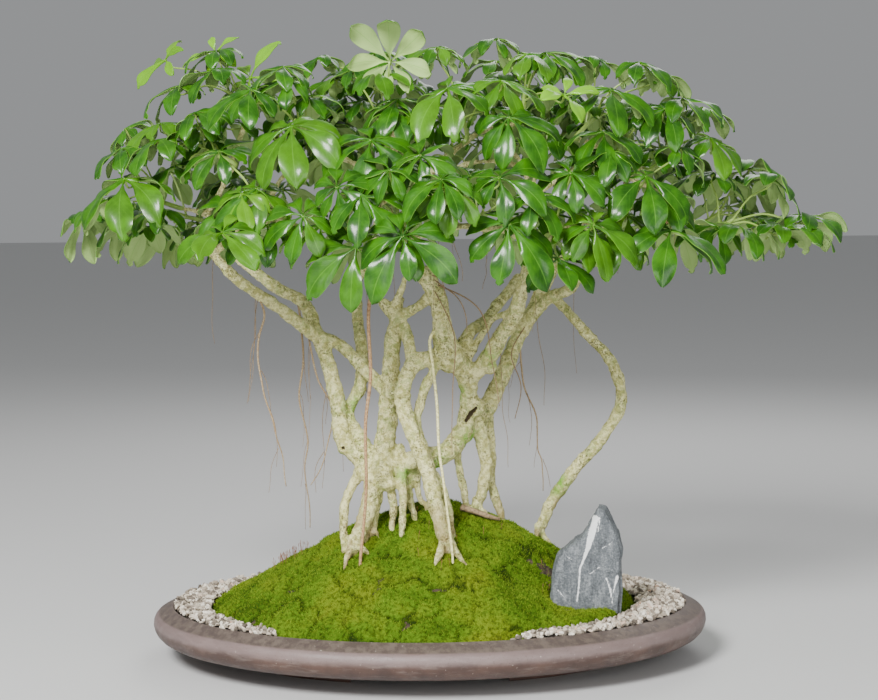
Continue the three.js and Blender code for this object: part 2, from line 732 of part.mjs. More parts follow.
// Twigs carry the stems. Each grows from the nearest limb end or from the middle of an earlier twig.
function growTwigs(bases) {
  const forks = limbs.filter(({ tip }) => tip).map(({ route, radii }) => {
    const [first, last] = [sighted(route[0]), sighted(route.at(-1))];
    return first.z > last.z ? { place: first, radius: radii[0] } : { place: last, radius: radii.at(-1) };
  });
  const nearestFork = (base) => forks.reduce((best, fork) => (
    fork.place.distanceTo(base) < best.place.distanceTo(base) ? fork : best));
  const waiting = bases.map((base, shoot) => ({ base, shoot, far: nearestFork(base).place.distanceTo(base) }));
  waiting.sort((one, other) => one.far - other.far);
  const directions = [];
  const twigs = waiting.map(({ base, shoot }) => {
    const fork = nearestFork(base);
    const middle = fork.place.clone().lerp(base, 0.5);
    middle.x += twigSway * (draw(shoot) - 0.5);
    middle.y += twigSway * (draw(shoot + 50) - 0.5);
    middle.z += twigArch;
    const direction = base.clone().sub(middle).normalize();
    const startRadius = Math.min(fork.radius, twigRoot);
    const endRoute = base.clone().addScaledVector(direction, -twigEnd);
    forks.push({ place: middle, radius: forkRadius });
    directions[shoot] = direction;
    return bentRod([fork.place, middle, endRoute, base], [startRadius, twigRadius + 0.3, twigRadius], 4, 2);
  });
  return { wood: join(twigs), directions };
}

// Leafy stems that grow through each other count as one piece.
function fuseCrossing(solids) {
  const groups = [];
  for (const solid of solids) {
    let grown = solid;
    for (let i = groups.length - 1; i >= 0; i -= 1) {
      if (grown.intersect(groups[i]).numTri() > 0) {
        grown = grown.add(groups[i]);
        groups.splice(i, 1);
      }
    }
    groups.push(grown);
  }
  return groups.map(mainBody);
}

const shoots = allShoots();
const bases = shoots.map(shootBase);
const twigs = growTwigs(bases);
const hanging = hangingRoots.map((route) => (
  bentRod(route.map(sighted), [hangingRadius, hangingRadius * 0.7], 3, 7)));
const wood = mainBody(join([...rodsFrom(limbs), makeGroundRoots(0), twigs.wood, ...hanging]));
const rootHoles = makeGroundRoots(seatGap);
const stoneHole = makeStone(seatGap);
const leafyStems = fuseCrossing(shoots.map((leaves, shoot) => (
  makeShoot(leaves, bases[shoot], twigs.directions[shoot], shoot))));

const bonsai = new THREE.Group();
bonsai.add(toMesh('pot', makePot(), clay));
bonsai.add(toMesh('soil', makeSoil(0).subtract(rootHoles).subtract(stoneHole), earth));
bonsai.add(toMesh('moss', makeMoss(rootHoles.add(stoneHole)), mossGreen));
bonsai.add(toMesh('gravel', makeGravel().subtract(stoneHole), grit));
bonsai.add(toMesh('stone', makeStone(0), slate));
bonsai.add(toMesh('trunk', wood, bark));
leafyStems.forEach((stem, number) => {
  bonsai.add(toMesh(`leafy_stem_${String(number + 1).padStart(2, '0')}`, stem, leafGreen));
});

// The whole stands centred over the middle of its outline.
const outline = new THREE.Box3().setFromObject(bonsai);
const centre = outline.getCenter(new THREE.Vector3());
bonsai.position.set(-centre.x, -centre.y, -outline.min.z);

export default bonsai;
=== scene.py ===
import math
import bpy
import numpy as np
from mathutils import Matrix, Vector, noise
from mathutils.bvhtree import BVHTree


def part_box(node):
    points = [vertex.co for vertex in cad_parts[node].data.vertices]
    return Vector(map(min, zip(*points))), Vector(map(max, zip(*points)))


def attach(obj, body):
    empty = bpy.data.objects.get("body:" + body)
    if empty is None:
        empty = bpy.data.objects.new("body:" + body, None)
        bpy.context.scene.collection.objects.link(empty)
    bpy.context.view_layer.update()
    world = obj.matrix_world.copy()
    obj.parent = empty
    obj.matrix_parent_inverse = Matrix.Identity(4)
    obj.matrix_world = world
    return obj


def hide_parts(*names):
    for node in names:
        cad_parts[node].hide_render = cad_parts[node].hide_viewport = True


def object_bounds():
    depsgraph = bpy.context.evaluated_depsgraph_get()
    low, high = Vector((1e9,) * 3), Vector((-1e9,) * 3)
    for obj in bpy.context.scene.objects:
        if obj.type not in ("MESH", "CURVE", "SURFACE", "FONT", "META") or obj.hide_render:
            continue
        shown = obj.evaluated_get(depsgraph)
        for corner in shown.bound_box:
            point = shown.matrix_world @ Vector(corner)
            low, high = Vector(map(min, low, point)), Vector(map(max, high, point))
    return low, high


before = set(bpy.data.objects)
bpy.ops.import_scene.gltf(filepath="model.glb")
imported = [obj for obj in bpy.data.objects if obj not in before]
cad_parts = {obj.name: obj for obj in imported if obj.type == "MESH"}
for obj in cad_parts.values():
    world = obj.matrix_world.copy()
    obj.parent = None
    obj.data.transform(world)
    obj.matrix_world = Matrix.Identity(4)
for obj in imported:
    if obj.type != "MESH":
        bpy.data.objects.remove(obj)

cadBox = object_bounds()
mm = 0.001
potLow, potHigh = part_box("pot")
potMiddle = np.array([(potLow[0] + potHigh[0]) / 2, (potLow[1] + potHigh[1]) / 2, 0.0]) / mm
rng = np.random.default_rng(7)
noise.seed_set(7)  # noise_vector draws its offsets from the clock otherwise

# places of the growing parts, in millimetres from the middle of the pot
view = {"distance": 1900, "height": 455, "offset": 9, "lens": 78.6, "tilt": 4.5, "roll": 0.5, "turn": -0.11}
crown = {
    "centre": np.array([27.0, 15.0, 395.0]),
    "radii": np.array([335.0, 190.0, 185.0]),
    "facing": np.array([600.0, 140.0, 185.0]),
    "growthSeed": 93,
    "petiole": 64,
    "leaflet": 62,
    "inner": 3,
    # the crown's lower edge as x and z seen from the front
    "edge": ((-390, 388), (-190, 388), (-135, 362), (-90, 342), (60, 350), (150, 358), (250, 364),
             (330, 388), (430, 402)),
    "twig": [4.6, 3.0, 2.7],
    "fork": 3.2,
    "spread": (46, 40, 16),
    "dryLeaflet": (9, 1, 3),
    # a leaf at the top that shows its pale underside: its shoot, place as seen from the front, and size
    "paleLeaf": {"shoot": 5, "place": [-34, 590, -99], "size": 0.88},
    "low": np.array(cadBox[0]) / mm - potMiddle + 0.6,
    "high": np.array(cadBox[1]) / mm - potMiddle - 0.6,
}
up = np.array([0.0, 0.0, 1.0])


def draw(number):
    wave = math.sin((number + crown["growthSeed"]) * 12.9898) * 43758.5453
    return wave - math.floor(wave)


def unit(vector):
    return vector / np.linalg.norm(vector)


def lerp(a, b, t):
    return a + (b - a) * t


# from a place as seen at the pot's depth to the real one, where y lies nearer or further
def sighted(place):
    x, z, y = place
    near = (view["distance"] + y) / view["distance"]
    return np.array([
        view["offset"] + (x - view["offset"]) * near,
        y,
        view["height"] + (z - view["height"]) * near,
    ])


def toFrame(points):
    return (np.asarray(points) + potMiddle) * mm


# a smooth line through the points, sampled evenly along its length
def smoothLine(points, samples):
    points = [np.asarray(point, dtype=float) for point in points]
    fine = []
    last = len(points) - 1
    for i in range(last):
        before = points[i - 1] if i > 0 else 2 * points[0] - points[1]
        after = points[i + 2] if i + 2 <= last else 2 * points[last] - points[last - 1]
        one, two = points[i], points[i + 1]
        gaps = [max(np.dot(b - a, b - a) ** 0.25, 1e-4) for a, b in ((before, one), (one, two), (two, after))]
        slopeOne = (one - before) / gaps[0] - (two - before) / (gaps[0] + gaps[1]) + (two - one) / gaps[1]
        slopeTwo = (two - one) / gaps[1] - (after - one) / (gaps[1] + gaps[2]) + (after - two) / gaps[2]
        slopeOne, slopeTwo = slopeOne * gaps[1], slopeTwo * gaps[1]
        for t in np.linspace(0, 1, 24, endpoint=False):
            fine.append(
                one * (2 * t ** 3 - 3 * t ** 2 + 1) + slopeOne * (t ** 3 - 2 * t ** 2 + t)
                + two * (3 * t ** 2 - 2 * t ** 3) + slopeTwo * (t ** 3 - t ** 2)
            )
    fine = np.array(fine + [points[last]])
    lengths = np.concatenate([[0], np.cumsum(np.linalg.norm(np.diff(fine, axis=0), axis=1))])
    wanted = np.linspace(0, lengths[-1], samples)
    return np.stack([np.interp(wanted, lengths, fine[:, k]) for k in range(3)], axis=1)


def pointAt(points, share):
    line = smoothLine(points, 201)
    return line[int(round(share * 200))]


# the mound
mound = {
    "length": 430, "depth": 340, "x": -6, "y": -9, "edge": 46, "dome": 62,
    "peak": 46, "peakX": 10, "peakY": 10, "spreadX": 120, "spreadY": 95,
    "shelf": 64, "shelfX": 150, "shelfY": -85, "shelfLength": 50, "shelfDepth": 34, "shelfHold": 1.25,
}


def mossTop(x, y):
    across = (x - mound["x"]) / (mound["length"] / 2)
    back = (y - mound["y"]) / (mound["depth"] / 2)
    dome = mound["dome"] * np.maximum(0, 1 - across ** 2 - back ** 2) ** 0.8
    hill = ((x - mound["peakX"]) / mound["spreadX"]) ** 2 + ((y - mound["peakY"]) / mound["spreadY"]) ** 2
    lumps = 1.6 * np.sin(x / 17 + 1) * np.cos(y / 14) + 1.1 * np.sin(x / 9 - y / 11)
    top = mound["edge"] + dome + mound["peak"] * np.exp(-hill)
    near = ((x - mound["shelfX"]) / mound["shelfLength"]) ** 2 + ((y - mound["shelfY"]) / mound["shelfDepth"]) ** 2
    hold = np.minimum(1, mound["shelfHold"] * np.exp(-near))
    return top + (mound["shelf"] - top) * hold + lumps


# limbs and roots as [x, z] seen from the front, then y in depth, with radii from first to last
limbs = [
    {"tip": True, "radii": [5.5, 7.5, 9], "route": [[-186, 398, 40], [-154, 372, 30], [-124, 354, 18],
     [-110, 325, 8], [-92, 266, -8], [-83, 213, -18], [-54, 187, -22]]},
    {"tip": True, "radii": [5, 7], "route": [[-212, 404, -70], [-192, 381, -62], [-142, 345, -30],
     [-106, 316, 6]]},
    {"tip": False, "radii": [6, 7], "route": [[-107, 320, 6], [-89, 313, 0], [-60, 284, -12], [-39, 263, -20]]},
    {"tip": True, "radii": [6, 6.5, 7], "route": [[-72, 366, 60], [-69, 337, 42], [-66, 275, 8],
     [-80, 243, -4], [-66, 216, -12], [-50, 192, -20]]},
    {"tip": True, "radii": [4.5, 8.5, 9, 10, 12], "route": [[-27, 356, -12], [-33, 325, -14], [-39, 263, -20],
     [-41, 234, -22], [-48, 180, -26]]},
    {"tip": False, "radii": [6.5, 6], "route": [[-29, 340, -14], [-20, 318, -28], [-16, 296, -44]]},
    {"tip": True, "radii": [9, 9, 14], "route": [[-1, 381, -46], [11, 354, -42], [16, 322, -36], [21, 296, -30]]},
    {"tip": False, "radii": [12, 10, 9, 9], "route": [[22, 302, -30], [38, 280, -18], [40, 250, -12],
     [36, 226, -10]]},
    {"tip": False, "radii": [10, 11, 10, 8], "route": [[-40, 190, -24], [16, 202, -16], [34, 222, -8],
     [52, 237, 4], [61, 250, 14]]},
    {"tip": True, "radii": [9, 8, 6.5], "route": [[40, 276, -14], [56, 292, -20], [75, 321, -32],
     [83, 332, -38], [96, 371, -54], [100, 386, -60]]},
    {"tip": True, "radii": [7, 6, 5.5], "route": [[26, 296, -24], [44, 324, 0], [59, 336, 26], [90, 376, 76]]},
    {"tip": True, "radii": [9, 8, 6], "route": [[58, 246, 12], [70, 270, 24], [86, 308, 44], [99, 334, 58],
     [120, 375, 84], [129, 391, 94]]},
    {"tip": True, "radii": [7, 5.5], "route": [[94, 326, 54], [118, 354, 36], [141, 365, 20], [151, 378, 8]]},
    {"tip": False, "radii": [4, 3.5], "route": [[40, 296, -16], [54, 321, -12], [66, 336, -20], [80, 342, -40]]},
    {"tip": False, "radii": [2.6, 3, 4.5], "route": [[-19, 392, -40], [-22, 374, -26], [-33, 350, -14]]},
    {"tip": False, "radii": [6, 5, 5.5], "route": [[6, 362, -42], [-8, 350, -34], [-24, 341, -20]]},
    {"tip": False, "radii": [5.5, 6.5, 6.5], "route": [[-43, 352, -12], [-32, 337, -16], [-20, 318, -27]]},
]
groundRoots = [
    {"radii": [6, 5, 5.5], "route": [[-66, 190, -24], [-83, 155, -34], [-86, 134, -44]], "foot": [-82, -50]},
    {"radii": [11, 9, 9], "route": [[-52, 184, -26], [-63, 140, -44]], "foot": [-74, -56]},
    {"radii": [9, 7, 7], "route": [[-50, 186, -22], [-55, 145, -32]], "foot": [-56, -38]},
    {"radii": [6, 4.5, 5], "route": [[-40, 184, -24], [-36, 150, -34]], "foot": [-36, -42]},
    {"radii": [5, 4.5, 5], "route": [[-28, 208, -22], [-26, 169, -36]], "foot": [-26, -56]},
    {"radii": [6, 4, 4.5], "route": [[-22, 190, -20], [-19, 155, -26]], "foot": [-14, -32]},
    {"radii": [6, 3.6, 4], "route": [[-12, 194, -20], [-9, 155, -18]], "foot": [-2, -18]},
    {"radii": [8, 8, 8, 7.5, 10], "route": [[14, 300, -32], [-14, 291, -46], [-25, 263, -56],
     [-22, 240, -60], [-4, 193, -66], [8, 146, -72]], "foot": [16, -75]},
    {"radii": [5, 5, 5], "route": [[8, 290, -40], [-5, 262, -46], [-11, 232, -48], [2, 190, -56],
     [16, 160, -58]], "foot": [23, -58]},
    {"radii": [5, 4, 5], "route": [[28, 216, -10], [31, 182, -4]], "foot": [38, 0]},
    {"radii": [8, 7, 6.5, 7], "route": [[50, 236, 0], [57, 185, 2], [53, 162, 4]], "foot": [46, 8]},
    {"radii": [6, 5.5, 6], "route": [[59, 238, 12], [63, 202, 14], [61, 179, 14]], "foot": [73, 16]},
    {"radii": [5, 5.5, 6, 6.5, 8], "route": [[114, 362, 74], [129, 353, 66], [158, 321, 52], [186, 286, 40],
     [191, 246, 34], [171, 214, 30], [128, 161, 26]], "foot": [110, 22]},
    {"radii": [1.8, 1.8], "route": [[14, 330, -36], [3, 318, -44], [5, 290, -52], [9, 245, -72],
     [11, 205, -80], [16, 165, -84]], "foot": [22, -88]},
    {"radii": [1.8, 1.8], "route": [[-34, 382, -60], [-51, 374, -62], [-58, 348, -62], [-57, 278, -68],
     [-62, 235, -70], [-63, 169, -72]], "foot": [-66, -78]},
]
hangingRoots = [
    [[-170, 364, -46], [-162, 342, -48], [-168, 318, -50], [-166, 287, -50], [-155, 234, -50], [-143, 169, -50]],
    [[-128, 352, 16], [-124, 301, 16], [-127, 263, 14], [-120, 213, 14], [-124, 187, 12], [-120, 128, 12]],
    [[-119, 344, 14], [-118, 316, 6], [-108, 276, 2], [-94, 244, -2], [-104, 205, -4], [-119, 172, -4]],
    [[91, 330, 54], [96, 272, 56], [107, 237, 56], [109, 205, 56], [115, 193, 54], [114, 161, 54]],
]

# leaves seen from the front for each leafy stem: [x, z] seen from the front, y in depth, and size
frontShoots = [
    [[-298, 478, -60, 1.15], [-273, 431, 10, 0.85], [-340, 440, 40, 0.9], [-296, 527, 20, 0.65]],
    [[-202, 424, -172, 0.95], [-204, 504, -95, 1], [-182, 462, -140, 0.75]],
    [[-255, 594, 60, 0.75], [-206, 600, 40, 0.75], [-245, 568, 10, 0.8], [-172, 576, 40, 0.75]],
    [[-132, 528, -130, 1.1], [-136, 574, -80, 0.85], [-172, 562, -30, 0.85]],
    [[-122, 440, -175, 0.8], [-88, 468, -182, 0.8]],
    [[-54, 514, -140, 1], [-36, 546, -96, 0.85], [-70, 584, -20, 0.8]],
    [[-70, 408, -185, 1.05], [-24, 419, -220, 1.1], [-6, 498, -180, 0.85]],
    [[82, 430, -190, 1.05], [72, 476, -180, 0.95], [31, 464, -208, 0.75]],
    [[143, 480, -150, 1], [130, 396, -150, 0.8], [165, 429, -160, 0.9]],
    [[217, 476, -110, 1.05], [242, 423, -125, 1.05], [199, 438, -92, 0.75], [252, 504, -60, 0.8]],
    [[343, 472, -10, 0.85], [376, 436, 10, 1], [329, 428, 30, 0.75], [288, 426, -20, 0.8]],
    [[281, 513, -20, 0.85], [274, 543, 20, 0.75], [236, 542, -48, 0.85], [290, 478, 36, 0.8]],
    [[22, 564, -118, 1.1], [82, 535, -150, 0.95], [12, 604, -52, 0.85]],
    [[72, 612, -4, 0.85], [119, 598, -48, 0.95], [137, 556, -112, 0.7]],
    [[182, 562, -76, 1.05], [176, 520, -92, 0.85], [170, 592, 10, 0.85], [232, 578, 0, 0.8]],
    [[-48, 600, 0, 0.8], [-10, 602, 44, 0.8], [-102, 596, 22, 0.8]],
    [[-228, 542, -34, 0.8], [-262, 532, -10, 0.8], [-248, 490, -20, 0.8]],
]
backRings = [
    {"rise": 16, "count": 6, "reach": 1, "free": 0.05},
    {"rise": 46, "count": 5, "reach": 1, "free": 0.1},
    {"rise": 62, "count": 2, "reach": 1, "free": 0.18},
]
backLeaves = 3


def backShoot(rise, turn, reach, number):
    lift = math.radians(rise)
    out = np.array([math.cos(turn) * math.cos(lift), math.sin(turn) * math.cos(lift), math.sin(lift)])
    tip = out * crown["radii"] * reach + crown["centre"]
    side = unit(np.cross(up, out))
    over = np.cross(out, side)
    aside, above, outward = crown["spread"]
    leaves = []
    for leaf in range(backLeaves):
        swing = 2 * math.pi * (leaf + draw(number * 9 + 1)) / backLeaves
        hub = tip + side * aside * math.cos(swing) + over * above * math.sin(swing)
        size = 0.85 + 0.25 * draw(number * 9 + leaf + 5)
        leaves.append((hub + out * outward * draw(number * 9 + leaf + 2), size))
    return leaves


def allShoots():
    shoots = [[(sighted(leaf[:3]), leaf[3]) for leaf in leaves] for leaves in frontShoots]
    for ring in backRings:
        for place in range(ring["count"]):
            turn = math.pi * (ring["free"] + (1 - 2 * ring["free"]) * (place + 0.5) / ring["count"])
            shoots.append(backShoot(ring["rise"], turn, ring["reach"], len(shoots)))
    return shoots


def middleOf(leaves):
    return sum(hub for hub, size in leaves) / len(leaves)


def shootBase(leaves):
    middle = middleOf(leaves)
    inward = crown["centre"] - middle
    inward[2] -= 40
    return middle + unit(inward) * crown["petiole"]


def growTwigs(bases):
    forks = []
    for limb in limbs:
        if limb["tip"]:
            first, last = sighted(limb["route"][0]), sighted(limb["route"][-1])
            rising = first[2] > last[2]
            forks.append((first, limb["radii"][0]) if rising else (last, limb["radii"][-1]))

    def nearestFork(base):
        return min(forks, key=lambda fork: np.linalg.norm(fork[0] - base))

    gaps = [np.linalg.norm(nearestFork(base)[0] - base) for base in bases]
    order = sorted(range(len(bases)), key=lambda shoot: gaps[shoot])
    twigs, directions = [], {}
    for shoot in order:
        base = bases[shoot]
        place, radius = nearestFork(base)
        middle = lerp(place, base, 0.5) + np.array([10 * (draw(shoot) - 0.5), 10 * (draw(shoot + 50) - 0.5), 7])
        direction = unit(base - middle)
        forks.append((middle, crown["fork"]))
        directions[shoot] = direction
        widths = [min(radius, crown["twig"][0])] + crown["twig"][1:]
        twigs.append(([place, middle, base - direction * 5, base], widths))
    return twigs, directions


# small helpers for objects, points and faces
def deselectAll():
    if bpy.context.mode != "OBJECT":
        bpy.ops.object.mode_set(mode="OBJECT")
    bpy.ops.object.select_all(action="DESELECT")


def pick(piece):
    deselectAll()
    piece.select_set(True)
    bpy.context.view_layer.objects.active = piece


def addObject(name, data):
    made = bpy.data.objects.new(name, data)
    bpy.context.collection.objects.link(made)
    return made


def applyAll(piece):
    pick(piece)
    for modifier in list(piece.modifiers):
        bpy.ops.object.modifier_apply(modifier=modifier.name)


def readPoints(mesh, kind="co"):
    points = np.empty(len(mesh.vertices) * 3)
    mesh.vertices.foreach_get(kind, points)
    return points.reshape(-1, 3)


def writePoints(mesh, points):
    mesh.vertices.foreach_set("co", np.ascontiguousarray(points, dtype=np.float32).ravel())
    mesh.update()


# moves each point out along its normal, by millimetres
def pushOut(mesh, depth):
    writePoints(mesh, readPoints(mesh) + readPoints(mesh, "normal") * (depth * mm)[:, None])


def setValues(piece, name, values):
    made = piece.data.attributes.new(name, "FLOAT", "POINT")
    made.data.foreach_set("value", np.asarray(values, dtype=np.float32))


def wear(piece, *looks):
    piece.data.materials.clear()
    for look in looks:
        piece.data.materials.append(look)


def weld(piece, gap):
    pick(piece)
    bpy.ops.object.mode_set(mode="EDIT")
    bpy.ops.mesh.select_all(action="SELECT")
    bpy.ops.mesh.remove_doubles(threshold=gap)
    bpy.ops.object.mode_set(mode="OBJECT")


def melt(piece, size):
    skin = piece.modifiers.new("melt", "REMESH")
    skin.mode = "VOXEL"
    skin.voxel_size = size


def soften(piece, turns):
    smooth = piece.modifiers.new("soften", "SMOOTH")
    smooth.iterations = turns
    applyAll(piece)


def thicken(piece, depth, offset):
    shell = piece.modifiers.new("thickness", "SOLIDIFY")
    shell.thickness = depth
    shell.offset = offset
    return shell


def smoothFaces(piece):
    for face in piece.data.polygons:
        face.use_smooth = True


def smoothBy(piece, degrees):
    pick(piece)
    bpy.ops.object.shade_smooth_by_angle(angle=math.radians(degrees))


def spreadRadii(radii, samples):
    return np.interp(np.linspace(0, 1, samples), np.linspace(0, 1, len(radii)), radii)


def seenRoute(route):
    return [sighted(place) for place in route]


def makeTubes(name, lines, sides, *looks):
    data = bpy.data.curves.new(name, "CURVE")
    data.dimensions = "3D"
    data.bevel_depth = mm
    data.bevel_resolution = max(0, sides // 4 - 1)
    data.resolution_u = 1
    data.use_fill_caps = True
    for points, radii in lines:
        spline = data.splines.new("POLY")
        spline.points.add(len(points) - 1)
        placed = toFrame(points)
        spline.points.foreach_set("co", np.column_stack([placed, np.ones(len(placed))]).ravel())
        spline.points.foreach_set("radius", np.asarray(radii, dtype=float))
    pick(addObject(name, data))
    bpy.ops.object.convert(target="MESH")
    tubes = bpy.context.object
    weld(tubes, 0.001 * mm)  # joins the end caps to the tubes
    wear(tubes, *looks)
    return tubes


def joinTo(main, others):
    pick(main)
    for other in others:
        other.select_set(True)
    bpy.ops.object.join()
    return main


# materials: a socket is linked to another, or set to a plain value or colour
def feed(socket, value):
    if isinstance(value, bpy.types.NodeSocket):
        socket.id_data.links.new(value, socket)
    elif socket.type == "RGBA":
        socket.default_value = (*value, 1)
    else:
        socket.default_value = value


def fill(node, **inputs):
    for key, value in inputs.items():
        feed(node.inputs[key.replace("_", " ")], value)


def addNode(tree, kind, settings=None, **inputs):
    node = tree.nodes.new(kind)
    for key, value in (settings or {}).items():
        setattr(node, key, value)
    fill(node, **inputs)
    return node


# a new material, its shader and the place on the object
def startMaterial(name, roughness, **gloss):
    look = bpy.data.materials.new(name)
    look.use_nodes = True
    shader = look.node_tree.nodes["Principled BSDF"]
    fill(shader, Roughness=roughness, **gloss)
    return look, shader, addNode(look.node_tree, "ShaderNodeTexCoord").outputs["Object"]


def noiseAt(place, scale, detail=3.0, roughness=0.55):
    made = addNode(place.id_data, "ShaderNodeTexNoise", Scale=scale, Detail=detail, Roughness=roughness, Vector=place)
    return made.outputs["Fac"]


def heightOf(place):
    return addNode(place.id_data, "ShaderNodeSeparateXYZ", Vector=place).outputs["Z"]


def stretched(place, z):
    return addNode(place.id_data, "ShaderNodeMapping", Vector=place, Scale=(1.0, 1.0, z)).outputs["Vector"]


def valueOf(place, name):
    return addNode(place.id_data, "ShaderNodeAttribute", {"attribute_name": name}).outputs["Fac"]


def ramp(value, stops):
    made = addNode(value.id_data, "ShaderNodeValToRGB", Fac=value)
    while len(made.color_ramp.elements) < len(stops):
        made.color_ramp.elements.new(0.5)
    for element, (place, color) in zip(made.color_ramp.elements, stops):
        element.position = place
        element.color = (*color, 1)
    return made.outputs["Color"]


def mix(share, one, two):
    made = addNode(share.id_data, "ShaderNodeMix", {"data_type": "RGBA"})
    for socket, value in zip((made.inputs[0], made.inputs[6], made.inputs[7]), (share, one, two)):
        feed(socket, value)
    return made.outputs[2]


# each coat is a share and a colour, laid over the ones before
def layers(color, *coats):
    for share, paint in coats:
        color = mix(share, color, paint)
    return color


def calc(operation, one, two=0.0):
    tree = next(value.id_data for value in (one, two) if isinstance(value, bpy.types.NodeSocket))
    made = addNode(tree, "ShaderNodeMath", {"operation": operation})
    feed(made.inputs[0], one)
    feed(made.inputs[1], two)
    return made.outputs[0]


def times(one, two):
    return calc("MULTIPLY", one, two)


def plus(one, two):
    return calc("ADD", one, two)


def less(one, two):
    return calc("SUBTRACT", one, two)


def step(value, low, high):
    settings = {"interpolation_type": "SMOOTHSTEP"}
    made = addNode(value.id_data, "ShaderNodeMapRange", settings, Value=value, From_Min=low, From_Max=high)
    return made.outputs["Result"]


def cover(shader, color, height, strength, distance):
    bump = addNode(shader.id_data, "ShaderNodeBump", Strength=strength, Distance=distance, Height=height)
    fill(shader, Base_Color=color, Normal=bump.outputs["Normal"])


leafLook = {
    "deep": (0.008, 0.055, 0.0005), "full": (0.034, 0.15, 0.001), "young": (0.17, 0.42, 0.008),
    # the underside greens are the leaf's own paler green, painted lighter still as light shining through the leaf
    "rib": (0.13, 0.34, 0.03), "under": (0.29, 0.43, 0.14), "underYoung": (0.36, 0.54, 0.13),
    # rim is the green of the leaflets' edge faces, and also the colour of the painted highlight along their margins
    "rim": (0.12, 0.3, 0.02), "stalk": (0.19, 0.34, 0.05), "stalkYoung": (0.34, 0.48, 0.1),
    "dry": (0.42, 0.3, 0.14), "spots": (0.14, 0.12, 0.03), "coat": 0.42,
}


def veinPattern(tree):
    place = addNode(tree, "ShaderNodeUVMap", {"uv_map": "leafMap"}).outputs["UV"]
    split = addNode(tree, "ShaderNodeSeparateXYZ", Vector=place).outputs
    along, aside = split["X"], calc("ABSOLUTE", less(split["Y"], 0.5))
    slant = less(times(along, 9.0), times(aside, 5.0))
    wave = calc("ABSOLUTE", less(calc("FRACT", slant), 0.5))
    # the midrib, the side veins, and the band along the margin that takes a painted highlight
    return step(aside, 0.03, 0.008), step(wave, 0.1, 0.02), step(aside, 0.455, 0.5)


def leafMaterial(name, deep, full, young, roughness, coat):
    gloss = {"Coat_Weight": coat, "Coat_Roughness": 0.18, "Specular_IOR_Level": 0.16}
    look, shader, place = startMaterial(name, roughness, **gloss)
    tone = valueOf(place, "leafTone")
    rib, veins, marginHighlight = veinPattern(place.id_data)
    color = layers(
        deep, (step(noiseAt(place, 60, 4), 0.3, 0.7), full), (step(tone, 0.5, 1.25), young),
        (times(veins, 0.07), leafLook["rib"]), (times(rib, 0.34), leafLook["rib"]),
        # the margin band gets a painted highlight in the lighter rim green
        (times(marginHighlight, 0.3), leafLook["rim"]), (step(tone, 1.6, 1.9), leafLook["dry"]),
    )
    height = less(less(noiseAt(place, 420, 2), times(veins, 0.7)), times(rib, 1.2))
    cover(shader, color, height, 0.2, 0.0003)
    return look


def plainGrowth(name, old, young, roughness):
    look, shader, place = startMaterial(name, roughness)
    spots = times(step(noiseAt(place, 350, 3), 0.55, 0.75), 0.4)
    color = layers(old, (step(valueOf(place, "leafTone"), 0.0, 1.2), young), (spots, leafLook["spots"]))
    fill(shader, Base_Color=color)
    return look


leafTop = leafMaterial("leafTop", leafLook["deep"], leafLook["full"], leafLook["young"], 0.45, leafLook["coat"])
# the undersides are painted lighter than their own green, as painted light shining through them
leafUnder = leafMaterial("leafUnder", leafLook["under"], leafLook["under"], leafLook["underYoung"], 0.55, 0.0)
leafRim = plainGrowth("leafRim", leafLook["rim"], leafLook["rim"], 0.4)
stalkGreen = plainGrowth("stalkGreen", leafLook["stalk"], leafLook["stalkYoung"], 0.42)
leafLooks = (leafTop, leafUnder, leafRim, stalkGreen)


# one leaflet, flat and 56 long, modelled once
leaflet = {
    "length": 56, "width": 10.6, "stalk": 0.13, "stalkWidth": 0.9, "thickness": 0.55,
    "rows": 14, "columns": 6, "fold": 0.26, "wave": 1.2, "curl": 2.2, "arch": 0.56, "tip": 0.44,
    "roll": 0.9, "bend": 10,
}


def halfWidth(along):
    blade = np.clip((along - leaflet["stalk"]) / (1 - leaflet["stalk"]), 0, 1)
    shape = np.sin(math.pi * blade ** 1.12) ** 0.72
    return np.maximum(leaflet["width"] * shape, leaflet["stalkWidth"])


def makeLeafletPattern(name, notch, lobe):
    deselectAll()
    bpy.ops.mesh.primitive_grid_add(x_subdivisions=leaflet["rows"], y_subdivisions=leaflet["columns"], size=1)
    pattern = bpy.context.object
    pattern.name = name
    pattern.data.uv_layers[0].name = "leafMap"
    points = readPoints(pattern.data)
    along = (points[:, 0] + 0.5) ** 0.85 * 0.992
    aside = points[:, 1] * 2
    tooth = lobe * np.exp(-((along - 0.86) / 0.035) ** 2) * np.abs(aside) ** 2
    y = aside * (halfWidth(along) - tooth)
    dent = notch * np.exp(-(aside / 0.34) ** 2) * np.clip((along - 0.72) / 0.28, 0, 1) ** 2
    writePoints(pattern.data, np.column_stack([along * leaflet["length"] - dent, y, np.zeros(len(y))]))
    wear(pattern, *leafLooks)
    shell = thicken(pattern, leaflet["thickness"], 0)
    shell.material_offset = 1
    shell.material_offset_rim = 2
    applyAll(pattern)
    setValues(pattern, "leafTone", np.zeros(len(pattern.data.vertices)))
    smoothFaces(pattern)
    return pattern


